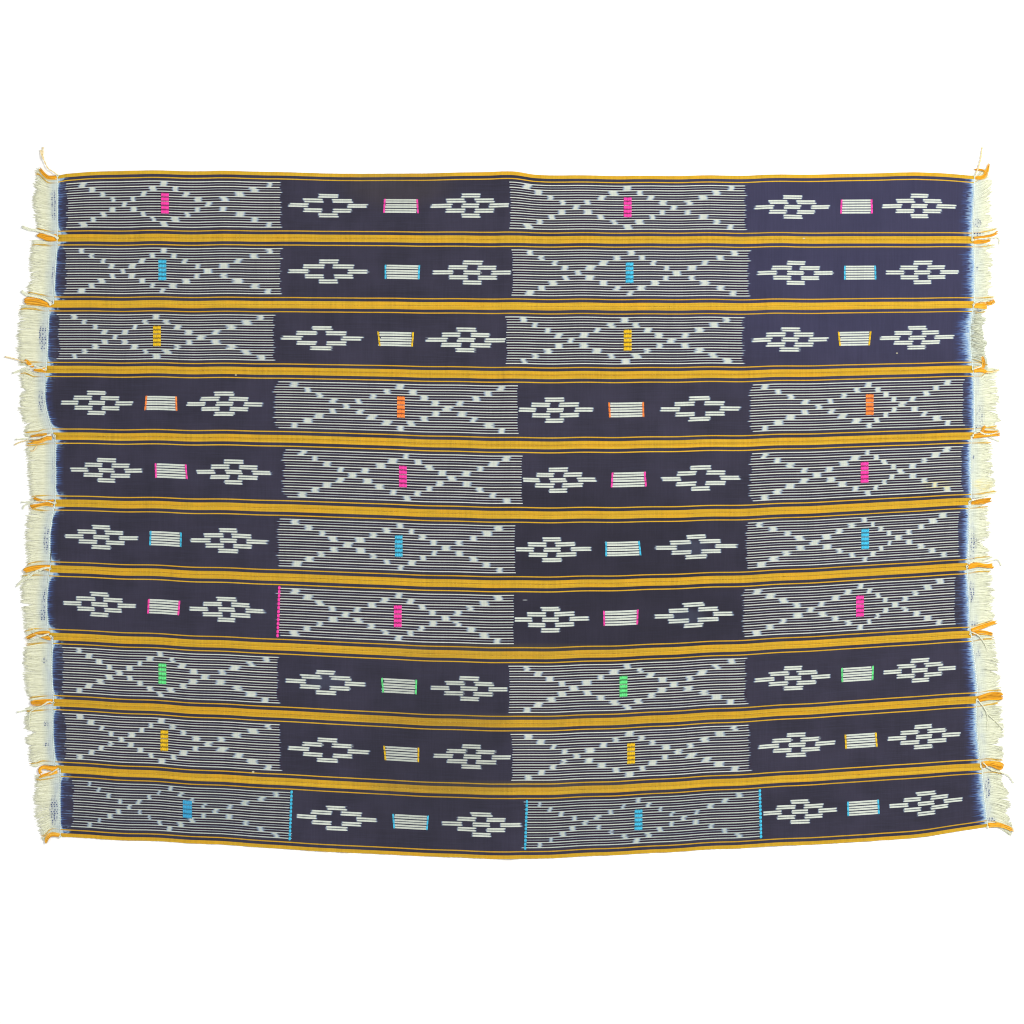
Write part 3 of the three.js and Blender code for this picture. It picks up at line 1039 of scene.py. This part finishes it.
# Ends of the sewing thread, left long at the seams, with spines as places out and up. Most are
# cream and TAIL_MM wide.
TAIL_MM = 2.4
TAILS = {
    "left": table(
        "seam spine dye wide",
        (0, [(0.5, 1), (7, 6), (14.5, 11), (20, 21.5), (23, 32), (22.5, 44.5)], "gold"),
        (0, [(21.5, 24), (24.5, 32), (26.5, 40)], "gold"),
        (1, [(-0.5, -2), (4, 2.5), (16, 6.5), (31.5, 11.5), (43, 13), (55, 17.5)], "cream", 4),
        (2, [(1, -2.5), (4, 3), (13, 8.5), (26, 11.5), (39, 14.5), (46.5, 20)], "cream", 4),
        (3, [(30, 11), (37.5, 13), (48.5, 16), (64, 19.5)], "gold"),
        (3, [(0, 5), (9.5, 1.5), (25, 1), (37.5, -2.5), (52.5, -6.5)]),
        (3, [(1.5, -1.5), (12.5, 4), (20.5, 6.5), (28, 4), (40.5, -1.5), (51.5, -6)]),
        (4, [(4, 5), (13.5, 0), (28.5, -4.5), (42, -4), (61, -5.5)]),
        (4, [(41.5, -6.5), (54.5, -10), (62.5, -14)], "gold"),
        (4, [(27.5, -16), (32, -22.5), (37.5, -23.5)], "gold"),
        (5, [(2, -0.5), (11, 2.5), (21, 2.5), (33, 2), (53.5, 1)]),
        (5, [(33, 2), (38.5, 0), (47.5, -4), (50.5, -9.5)]),
        (6, [(0, 1.5), (7, 2), (16, -1), (25, -5.5), (33, -10.5), (43.5, -18), (51.5, -25)]),
        (6, [(0, 1.5), (8.5, 0), (16, -3), (25.5, -7.5), (36.5, -15.5), (47.5, -23), (53, -28)]),
        (7, [(3, 4), (14, 1), (22.5, 2.5), (28, 7), (26, 11.5)]),
        (7, [(3, 3.5), (17, -1), (26.5, -4.5), (34.5, -7)]),
        (8, [(1, 0), (8.5, 1), (19.5, -6), (38.5, -11), (57, -15.5)]),
        (8, [(6.5, 1), (19.5, -6), (34.5, -13.5), (37.5, -22.5), (38, -40.5)]),
        (9, [(0.5, 0.5), (12, -7), (28.5, -16.5)]),
    ),
    "right": table(
        "seam spine dye wide",
        (0, [(1, 1), (5.5, 12), (9.5, 27), (12, 44.5)], "gold"),
        (1, [(2.5, 0.5), (20, 2.5), (32.5, 3.5), (41, 2.5), (41.5, -7)]),
        (2, [(1, 2), (8.5, 5), (16.5, 9)]),
        (3, [(1.5, 0.5), (11, 3.5), (16, 8)]),
        (3, [(20.5, -6), (28, -5.5), (34.5, -3.5), (40.5, -1)], "gold"),
        (4, [(-1, 1), (7, 6.5), (15, 5), (23, -0.5), (42, -8.5)]),
        (4, [(13.5, 4), (24, 2.5), (33.5, 4), (43, 6.5)]),
        (5, [(1.5, 1), (12.5, 4), (23, 6.5)]),
        (6, [(2, 4), (11.5, 8), (29.5, 7), (47, 11), (53.5, 1.5)]),
        (7, [(1, 3.5), (10.5, -0.5), (18.5, -9), (24, -18.5), (27.5, -29)]),
        (8, [(0, 1), (11, -12.5), (16, -26), (16, -37), (16, -49)], "cream", 1.8),
        (8, [(11, -12), (17.5, -23), (29.5, -34), (40.5, -46.5)], "cream", 1.8),
        (9, [(3, 6.5), (15.5, -4.5), (30.5, -8.5), (42.5, -14), (50.5, -25)]),
    ),
}


def tuft_bend(side, seam, out, last):
    """How far up yarns beside a seam are carried along with its tuft."""
    rows = [row for row in TUFTS[SIDES[side]] if row["seam"] == seam]
    spine = np.array(rows[-1 if last else 0]["spine"], float)
    spine = spine[: int(spine[:, 0].argmax()) + 1]
    bend = np.interp(out, spine[:, 0], spine[:, 1] - spine[0, 1])
    if seam in (0, STRIPS_COUNT):
        bend = bend - out / out.max(axis=1, keepdims=True) * bend[:, -1:]
    return bend


def fringe_of(strip, side, threads, rng):
    """The loose warp of one strip end, from the weaving out to its cut ends."""
    habit = FRINGE_LOCKS[side]
    outwards = OUTWARDS[side]
    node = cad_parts[f"fringe_{habit['side']}_{strip.number:02d}"]
    tips_across, tips_x, tips_y = end_line(rim(node, 0, outwards))
    first = GOLD_BAND_MM - FRINGE_OUTSET_MM
    last = STRIP_WIDTH_MM - first
    borders = first + np.cumsum(rng.uniform(*habit["width"], 30))
    borders = np.append(borders[borders < last - 3], last)
    starts = np.append(first, borders[:-1])
    middles = (starts + borders) / 2
    locks = len(borders)
    lock_reach = rng.normal(0, habit["reach"], locks)
    lock_lean = rng.normal(0, habit["lean"], locks)
    lock_pull = rng.uniform(*habit["pull"], locks)
    lock_curl = rng.uniform(-1, 1, locks)
    folded = (strip.number, habit["side"]) == (FOLDED_BACK["strip"], FOLDED_BACK["side"])
    run = np.linspace(0, 1, FOLDED_BACK["places"] if folded else FRINGE_PLACES)[None, :]
    for layer in FRINGE_LAYERS:
        count = layer["yarns"]
        each = (count, 1)
        down = np.linspace(first, last, count) + rng.normal(0, 0.2 * layer["stray"], count)
        down = np.clip(down, first, last)
        across = 1 - down / STRIP_WIDTH_MM
        lock = np.minimum(np.searchsorted(borders, down), locks - 1)
        centre = middles[lock]
        from_centre = 2 * np.abs(down - centre) / (borders[lock] - starts[lock])

        # Where each yarn starts and ends.
        root_x = strip.end_x(side, across) - outwards * ROOT_DEPTH_MM
        root_y = strip.y_at(root_x, across)
        root_z = strip.underside(root_x, root_y, across) + 0.55
        tip_x = smooth_line(tips_across, tips_x, across)
        tip_y = smooth_line(tips_across, tips_y, across)
        centre_y = smooth_line(tips_across, tips_y, 1 - centre / STRIP_WIDTH_MM)
        uneven = lock_reach[lock] - habit["round"] * from_centre**3 + rng.normal(0.2, 1.4, count)
        uneven = uneven + layer["further"]
        for notch in NOTCHES:
            if notch["side"] == habit["side"]:
                near = (tip_y - notch["y"]) / notch["half"]
                uneven = uneven - notch["short"] * np.exp(-(near**2))
        tip_x = tip_x + outwards * uneven

        # Its course between them, with its lock, the tufts beside it, and by itself.
        gathered = ((centre_y - tip_y) * lock_pull[lock])[:, None] * run**2.5
        reach = np.repeat(run, count, axis=0)
        if folded:
            turn = FOLDED_BACK["turn"]
            back = np.clip((run - turn) / (1 - turn), 0, 1)
            out_part = np.sin(np.minimum(run / turn, 1) * math.pi / 2)
            reach = out_part - back**1.4 * rng.uniform(0.35, 0.95, each)
            gathered = gathered + lock_curl[lock][:, None] * FOLDED_BACK["curl"] * back
        x = root_x[:, None] + (tip_x - root_x)[:, None] * reach
        y = root_y[:, None] + (tip_y - root_y)[:, None] * run**1.3 + gathered
        out = np.abs(x - root_x[:, None])
        for seam, away in ((strip.number - 1, down), (strip.number, STRIP_WIDTH_MM - down)):
            weight = np.exp(-((away / TUFT_PULL_MM) ** 2))[:, None]
            y = y + tuft_bend(side, seam, out, seam < strip.number) * weight
        strays = layer["stray"] * wander(run, 0.2, 1.2, rng, count)
        slant = 2.6 * waves(root_y, 0 * root_y, 55, 900, SEED + 60 + side)
        slant = slant + np.interp(down, middles, lock_lean)
        curl = lock_curl[lock] * habit["curl"] + rng.normal(0, habit["stray_curl"], count)
        y = y + (strays + slant[:, None] * run) * run + curl[:, None] * run**5

        # Its height: down from the weaving to its layer, and resting on the floor at its tip.
        is_gold = np.abs(np.minimum(down, STRIP_WIDTH_MM - down) - GOLD_LINE_MIDDLE_MM) < 1.0
        is_gold = is_gold[:, None]
        rest_z = layer["height"] + rng.uniform(0, habit["loft"], count)
        fall = soft_between(0, 0.35, run)
        z = root_z[:, None] * (1 - fall) + rest_z[:, None] * fall
        z = z + habit["bounce"] * np.abs(np.sin(run * rng.uniform(4, 9, each))) * run
        z = z + (1.6 * soft_between(0, 0.5, back) if folded else (0.3 - z) * 0.6 * run**5)
        z = z + 0.7 * is_gold * fall

        # Its colour, with some yarns browner towards their tips, and painted light that makes the
        # tips paler against the shade that falls among them.
        tint = np.where(is_gold, bare("#d6b14c"), bare(habit["tint"]))[:, None, :]
        aged = soft_between(0.6, 1, run) * (rng.uniform(0, 1, each) < 0.35) * habit["aged"]
        aged = aged + (layer["stray"] > 1) * 0.3 * run
        tint = tint + (bare("#b2ae82") - tint) * aged[:, :, None]
        # On the folded-back fringe the colour is darkened as painted shade in its folds.
        tint = tint * (bare("#eef0f2") if folded else (1 + habit["fresh"] * run**4)[:, :, None])
        taper = 1.05 - 0.2 * run - 0.35 * run**8
        radius = layer["radius"] * rng.uniform(0.94, 1.1, each) * taper
        luck = rng.uniform(0, 1, count)
        threads.add(np.stack([x, y, z], -1), radius, tint, luck, layer["squash"])


def fringe_material():
    recipe = Recipe("cream_warp_yarn")
    run, around, luck = recipe.attribute("yarn")
    x, y, z = recipe.place_mm()
    patchy = recipe.cloud(x / 8.0, y / 5.0, luck * 30.0, 2.0)
    ply = ((run / 1.8 + around) * (2 * math.pi)).sine()
    fuzz = recipe.cloud(x / 0.8, y / 0.8, z / 0.8, 3.0)
    near = run.rise(22.0, 4.0)

    # Dye has crept into the roots: a cloudy column, and short dark ticks beside the cord.
    tick_row = (y / TOOTH_MM).floor()
    tick_place = (run + recipe.chance(tick_row, 4.0) * 1.8) / 4.2
    ticks = (y / TOOTH_MM).off_half().rise(0.48, 0.2) * tick_place.off_half().rise(0.36, 0.14)
    ticks = ticks * recipe.chance(tick_place.floor(), tick_row, 3.0).rise(0.0, 0.75)
    bluish = recipe.cloud(x / 9.0, y / 20.0, 5.0, 1.0).rise(0.45, 0.7) * near * 0.25
    creep = oval(x, y, CREEPS[0])
    for row in CREEPS[1:]:
        creep = creep.most(oval(x, y, row))
    soaked = recipe.cloud(x / 14.0, y / 2.4, 3.0, 2.0).rise(0.35, 0.65, 0.15, 1.0)
    stain = oval(x, y, FRINGE_STAIN) * patchy.rise(0.3, 0.7, 0.35, 1.0) * soaked
    tint = recipe.layered(
        recipe.stored("tint"),
        (near * (x.under(0.0) * 0.35 + 0.45), "#b9c5c4"),
        (bluish.most(creep * 0.3), "#93a0b8"),
        (creep.rise(0.0, 0.6) * ticks, "#47547c"),
        (stain, FRINGE_STAIN["tint"]),
    )
    # Painted light and shade: faint bands along the crimp of the yarns near their roots, and along
    # the twist of their plies.
    crimp_shade = (run * (2 * math.pi / 3.1)).sine() * near * 0.035
    shade = (luck - 0.5) * 0.09 + ply * 0.02 + 0.99 + (patchy - 0.5) * 0.12
    tint = recipe.brighten(tint, shade + crimp_shade)
    rough = fuzz.rise(0.2, 0.8, 0.85, 0.97)
    return recipe.finish(tint, ply * 0.5 + fuzz * 0.6, 0.25, 0.5, rough, sheen=0.2)


loose_yarn = fringe_material()
rng = np.random.default_rng(SEED)
for side, word in enumerate(SIDES):
    threads = Threads(f"fringe_{word}", 5)
    for strip in strips:
        fringe_of(strip, side, threads, rng)
    piece = threads.build(loose_yarn)
    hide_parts(*[f"fringe_{word}_{strip.number:02d}" for strip in strips])


# ---- tufts, tails and edges


def seam_end(side, seam):
    """X, Y and height of a seam where the weaving stops."""
    above = strips[max(seam - 1, 0)]
    below = strips[min(seam, STRIPS_COUNT - 1)]
    above_across = 1.0 if seam == 0 else 0.0
    below_across = 0.0 if seam == STRIPS_COUNT else 1.0
    x = (above.end_x(side, above_across) + below.end_x(side, below_across)) / 2
    y = (above.y_at(x, above_across) + below.y_at(x, below_across)) / 2
    return float(x), float(y), float(above.underside(x, y, 0.0)) + 0.9


def spines(rows_by_side, places):
    """Rows with their spines as smooth X and Y, the height at the seam, the way across, and
    widths where they have them."""
    for side, word in enumerate(SIDES):
        for row in rows_by_side[word]:
            yield (row, *spine_of(row, side, places))


def spine_of(row, side, places):
    x, y, z = seam_end(side, row["seam"])
    spine = np.array(row["spine"], float)
    stations = np.arange(len(spine))
    at = np.linspace(0, len(spine) - 1, places)
    out, up, *wide = (smooth_line(stations, column, at) for column in spine.T)
    x = x + OUTWARDS[side] * out
    y = y + up
    along = np.gradient(np.stack([x, y], -1), axis=0)
    along /= np.linalg.norm(along, axis=1, keepdims=True)
    return x, y, z, np.stack([-along[:, 1], along[:, 0]], -1), wide


TUFT_PLACES = 11
TUFT_YARN_MM = 1.15
TUFT_RADIUS_MM = (0.76, 0.95)
TUFT_HEIGHTS_MM = (2.3, 3.1)
TUFT_TINTS = np.array([bare(code) for code in ("#f0a91f", "#e59f1d", "#c98d1e", "#edb23a")])
TUFT_RIM = "#e4dab2"
TAIL_PLACES = 20
TAIL_PLY_MM = 1.1
TAIL_TINTS = {"gold": "#ead5a0", "cream": "#dfe1c8"}
TWINE_PLACES = 150
TWINE_TURN_MM = 4.2
TWINE_RADIUS_MM = 0.5
TWINE_TINTS = ("#eef6ec", "#c3d6da")
KNOT_TINT = "#e3e8cc"


def tufts(threads, rng):
    """Flat bundles of the gold selvedge yarns, in two layers."""
    run = np.linspace(0, 1, TUFT_PLACES)[None, :]
    for _, x, y, root_z, cross, (wide,) in spines(TUFTS, TUFT_PLACES):
        yarns = max(3, round(wide.max() / TUFT_YARN_MM))
        for layer, height in enumerate(TUFT_HEIGHTS_MM):
            count = yarns - layer
            each = (count, 1)
            offset = np.linspace(-0.5, 0.5, count)[:, None] * (1 - 0.7 / yarns)
            strays = wander(run, 0.1, 0.7, rng, count)
            reach = run * rng.uniform(0.86, 1.02, each)
            columns = (wide, x, cross[:, 0], y, cross[:, 1])
            wide_here, px, cross_x, py, cross_y = (np.interp(reach, run[0], c) for c in columns)
            aside = offset * wide_here + strays
            bulge = 0.9 * np.sqrt(1 - (1.9 * offset) ** 2)
            rest_z = height + bulge + rng.uniform(0, 0.3, each)
            fall = soft_between(0, 0.3, run)
            pz = (root_z + 0.4) * (1 - fall) + rest_z * fall
            tint = TUFT_TINTS[rng.integers(0, len(TUFT_TINTS), count)]
            at_rim = np.abs(offset) > 0.5 - 0.8 / yarns
            tint = np.where(at_rim & (layer == 0) & (yarns > 4), bare(TUFT_RIM), tint)
            radius = rng.uniform(*TUFT_RADIUS_MM, each) * (1.05 - 0.3 * run)
            path = np.stack([px + aside * cross_x, py + aside * cross_y, pz], -1)
            threads.add(path, radius, tint, rng.uniform(0, 1, count), 0.6)


def tails(threads, rng):
    """Ends of the sewing thread, with their plies twisted round each other."""
    run = np.linspace(0, 1, TAIL_PLACES)
    for row, x, y, _, cross, _ in spines(TAILS, TAIL_PLACES):
        wide = row.get("wide", TAIL_MM)
        tint = bare(TAIL_TINTS[row.get("dye", "cream")])
        z = 4.3 - 2.6 * soft_between(0.5, 0.95, run) + 0.5 * np.sin(run * 9)
        plies = max(2, round(wide / TAIL_PLY_MM))
        gyre = wide / 4
        for ply in range(plies):
            angle = run * 22 + ply * 2 * math.pi / plies
            aside = (gyre * (1 + 0.6 * run**3) * np.cos(angle))[:, None] * cross
            path = np.stack([x + aside[:, 0], y + aside[:, 1], z + 0.5 * gyre * np.sin(angle)], -1)
            threads.add(path[None], wide * 0.24, tint, rng.uniform(0, 1, 1))


def edge_cords(threads, rng):
    """The pale thread twined along both woven ends, two plies round each other."""
    across = np.linspace(-0.004, 1.004, TWINE_PLACES)
    for strip in strips:
        for side, outwards in enumerate(OUTWARDS):
            x = strip.end_x(side, across) + outwards * 0.3
            y = strip.y_at(x, across)
            z = strip.underside(x, y, np.clip(across, 0, 1)) + 1.0
            for ply, code in enumerate(TWINE_TINTS):
                angle = across * STRIP_WIDTH_MM / TWINE_TURN_MM * 2 * math.pi + ply * math.pi
                path = np.stack([x + 0.4 * np.cos(angle), y, z + 0.4 * np.sin(angle)], -1)
                threads.add(path[None], TWINE_RADIUS_MM, bare(code), rng.uniform(0, 1, 1))


def knots(threads, rng):
    """A small overhand knot of the twining thread at each end of every seam."""
    turn = np.linspace(0, 2 * math.pi * 1.6, 20)
    for side in range(len(SIDES)):
        for seam in range(STRIPS_COUNT + 1):
            x, y, z = seam_end(side, seam)
            for _ in range(2):
                size = rng.uniform(1.0, 1.8, 2)
                tilt = rng.uniform(0, math.pi)
                a = size[0] * np.cos(turn)
                b = size[1] * np.sin(turn)
                px = x + a * math.cos(tilt) - b * math.sin(tilt)
                py = y + a * math.sin(tilt) + b * math.cos(tilt)
                pz = z + 1.0 + 0.6 * np.sin(turn * 1.5) + 0.4
                path = np.stack([px, py, pz], -1)[None]
                threads.add(path, TWINE_RADIUS_MM, bare(KNOT_TINT), rng.uniform(0, 1, 1))


STITCH_PITCH_MM = 4.6
STITCH_RADIUS_MM = 0.24
STITCH_TINTS = ("#ae8a38", "#cfae55")
SEAM_CORD_RADIUS_MM = 0.42
SEAM_CORD_TINT = "#b18a30"
STITCH_X_MM = np.array([-1.1, -0.75, 0.0, 0.75, 1.1])
STITCH_Y_MM = np.array([1.5, 1.2, 0.0, -1.2, -1.5])
STITCH_Z_MM = np.array([-0.5, 0.05, 0.42, 0.05, -0.5])


def seam_line(seam, x):
    """Y and height along a seam between two strips."""
    above, below = strips[seam - 1], strips[seam]
    y = (above.y_at(x, 0.0) + below.y_at(x, 1.0)) / 2
    return y, above.top(x, y, 0.0)


def seam_stitches(threads, rng):
    """Whip stitches that lace neighbouring selvedges together over their outermost yarn."""
    for seam in range(1, STRIPS_COUNT):
        start = seam_end(0, seam)[0] + 3
        end = seam_end(1, seam)[0] - 3
        x = np.arange(start, end, STITCH_PITCH_MM)
        x = x + rng.uniform(-0.5, 0.5, len(x))
        shape = zip((x, *seam_line(seam, x)), (STITCH_X_MM, STITCH_Y_MM, STITCH_Z_MM))
        path = np.stack([middle[:, None] + away for middle, away in shape], axis=-1)
        dark = rng.uniform(0, 1, (len(x), 1)) < 0.5
        tint = np.where(dark, *(bare(code) for code in STITCH_TINTS))
        threads.add(path, STITCH_RADIUS_MM, tint, rng.uniform(0, 1, len(x)))
        cord_x = np.linspace(start - 2, end + 2, 240)
        cord_y, cord_z = seam_line(seam, cord_x)
        cord = np.stack([cord_x, cord_y, cord_z - 0.35], axis=-1)
        threads.add(cord[None], SEAM_CORD_RADIUS_MM, bare(SEAM_CORD_TINT), 0.5)


def thread_piece(name, sides, material, slot, rng, *makers):
    """A piece of the threads that its makers add one after the other."""
    threads = Threads(name, sides)
    for make in makers:
        make(threads, rng)
    return threads.build(material)


gold_yarn = thread_material("gold_selvedge_yarn", 1.9, 0.25, 0.12, 0.05)
cream_yarn = thread_material("cream_sewing_thread", 2.4, 0.25, 0.1, 0.2)
rng = np.random.default_rng(SEED + 5)
loose = [
    thread_piece("gold_tufts", 5, gold_yarn, "cream_warp_fringe", rng, tufts),
    thread_piece("thread_tails", 6, cream_yarn, "cream_warp_fringe", rng, tails, knots),
    thread_piece("edge_twining", 5, cream_yarn, "cream_warp_fringe", rng, edge_cords),
    thread_piece("seam_stitches", 4, gold_yarn, "indigo_ikat_cotton", rng, seam_stitches),
]


# ---- laid-in colour

# Forms of coloured weft: how wide its floats are together, how many lobes it has, how far it
# narrows between them, how dark the painted shade at the ties there is, and how high the lobes
# rise.
BLOCK, SHORT_BLOCK, BAR, DOTS = table(
    "wide lobes narrow tie rise",
    (12.2, 5, 0.0, 0.2, 1.35),
    (14.5, 4, 0.0, 0.55, 1.35),
    (2.8, 3, 0.0, 0.7, 1.15),
    (4.1, 13, 0.65, 0.35, 1.25),
)
FLOAT_MM = 1.3
FLOAT_RADIUS_MM = 0.72


def laid_in(strip, top_x, bottom_x, stretch, shape, dye):
    """Coloured weft floats down a stretch of the stripes, tied down between their lobes."""
    start, end = stretch
    count = max(2, round(shape["wide"] / FLOAT_MM))
    places = max(8, shape["lobes"] * 6 + 1)
    run = np.linspace(0, 1, places)[None, :]
    beat = np.abs(np.sin(math.pi * run * shape["lobes"]))
    down = start + (end - start) * run + rng.normal(0, 0.2, (count, 1))
    aside = (np.arange(count) - (count - 1) / 2)[:, None] * shape["wide"] / count
    aside = aside * (1 - shape["narrow"] * (1 - beat))
    x = top_x + (bottom_x - top_x) * run + aside + rng.normal(0, 0.1, (count, places))
    lift = -0.75 + shape["rise"] * beat**0.6 + rng.uniform(0, 0.2, (count, 1))
    path = strip.place(x, down, lift)
    # The floats are painted darker towards their ties, a painted shade where they dip into the
    # cloth.
    shade = shape["tie"] + (1 - shape["tie"]) * soft_between(0.2, 0.8, beat)
    shade = rng.uniform(0.88, 1.1, (count, 1)) * shade
    tint = bare(DYES[dye]) * shade[:, :, None]
    laid.add(path, FLOAT_RADIUS_MM, tint, rng.uniform(0, 1, count))


def rows_about(middle, rows):
    """A stretch of the stripes that reaches this many rows up and down from a middle."""
    return middle - ROW_PITCH_MM * rows, middle + ROW_PITCH_MM * rows


rng = np.random.default_rng(SEED + 9)
laid = Threads("laid_in_colour", 5)
for strip in strips:
    dye = strip.facts["dye"]
    for number, x in enumerate(strip.facts["blocks"]):
        if strip.number == ODD_STRIP and number == 0:
            laid_in(strip, x, x, rows_about(MIDDLE_MM - 0.8, 1.8), SHORT_BLOCK, "dull blue")
        else:
            laid_in(strip, x, x, rows_about(MIDDLE_MM - 0.8, 2.1), BLOCK, dye)
    for rectangle in (RECTANGLE_MM, RECTANGLE_MM + REPEAT_MM):
        for end in OUTWARDS:
            x = strip.x_of(rectangle + end * (RECTANGLE_HALF_MM + 0.8))
            lean = rng.uniform(-1.4, 1.4)
            laid_in(strip, x + lean, x - lean, rows_about(MIDDLE_MM, 1.45), BAR, dye)
for row in DOTTED_ROWS:
    strip = strips[row["strip"] - 1]
    laid_in(strip, row["top"], row["bottom"], DOTTED_STRETCH_MM, DOTS, row["dye"])
brocade_yarn = thread_material("dyed_brocade_yarn", 2.6, 0.2, 0.0, 0.25)
laid_piece = laid.build(brocade_yarn)


# ---- floor, light and camera

FLOOR_REACH = 12.0
FLOOR_Z = -0.0004
CAMERA_PLACE = (-0.0033, -0.0017, 6.0)
SENSOR_MM = 36.0
VIEW_WIDTH = 1.5974


def floor_material():
    recipe = Recipe("pale_paper")
    x, y, _ = recipe.place_mm()
    cloud = recipe.cloud(x / 400.0, y / 400.0, 0.0, 2.0)
    grain = recipe.cloud(x / 3.0, y / 3.0, 0.0, 2.0)
    tint = recipe.blend(cloud, "#f6f6f5", "#fafaf9")
    return recipe.finish(tint, grain, 0.05, 0.1, grain.rise(0, 1, 0.9, 1.0), sheen=0.0)


floor_corners = [(x * FLOOR_REACH, y * FLOOR_REACH, FLOOR_Z) for x in OUTWARDS for y in OUTWARDS]
floor_mesh = bpy.data.meshes.new("floor")
floor_mesh.from_pydata(floor_corners, [], [(0, 2, 3, 1)])
floor_mesh.materials.append(floor_material())
floor = linked("floor", floor_mesh)

camera_data = bpy.data.cameras.new("overhead")
camera_data.type = "PERSP"
camera_data.sensor_width = SENSOR_MM
camera_data.lens = SENSOR_MM * CAMERA_PLACE[2] / VIEW_WIDTH
camera_data.clip_end = 30.0
camera = linked("overhead", camera_data)
camera.location = CAMERA_PLACE
bpy.context.scene.camera = camera


def area_light(name, place, size, power, tint):
    """A round soft light that faces the middle of the cloth."""
    data = bpy.data.lights.new(name, "AREA")
    data.shape = "DISK"
    data.size = size
    data.energy = power
    data.color = colour(tint)[:3]
    light = linked(name, data)
    light.location = place
    x, y, z = place
    tip = math.atan2(math.hypot(x, y), z)
    light.rotation_euler = (tip, 0.0, math.atan2(-y, -x) - math.pi / 2)


area_light("key_light", (1.75, 0.85, 2.95), 1.3, 112.0, "#fffdf8")
area_light("fill_light", (-2.4, -0.3, 2.8), 2.6, 24.0, "#f4f8ff")

world = bpy.data.worlds.new("studio")
world.use_nodes = True
sky = world.node_tree.nodes["Background"].inputs
sky["Color"].default_value = (1.0, 1.0, 1.0, 1.0)
sky["Strength"].default_value = 0.55
scene = bpy.context.scene
scene.world = world
scene.view_settings.view_transform = "Standard"
scene.view_settings.look = "None"
scene.cycles.filter_width = 1.1
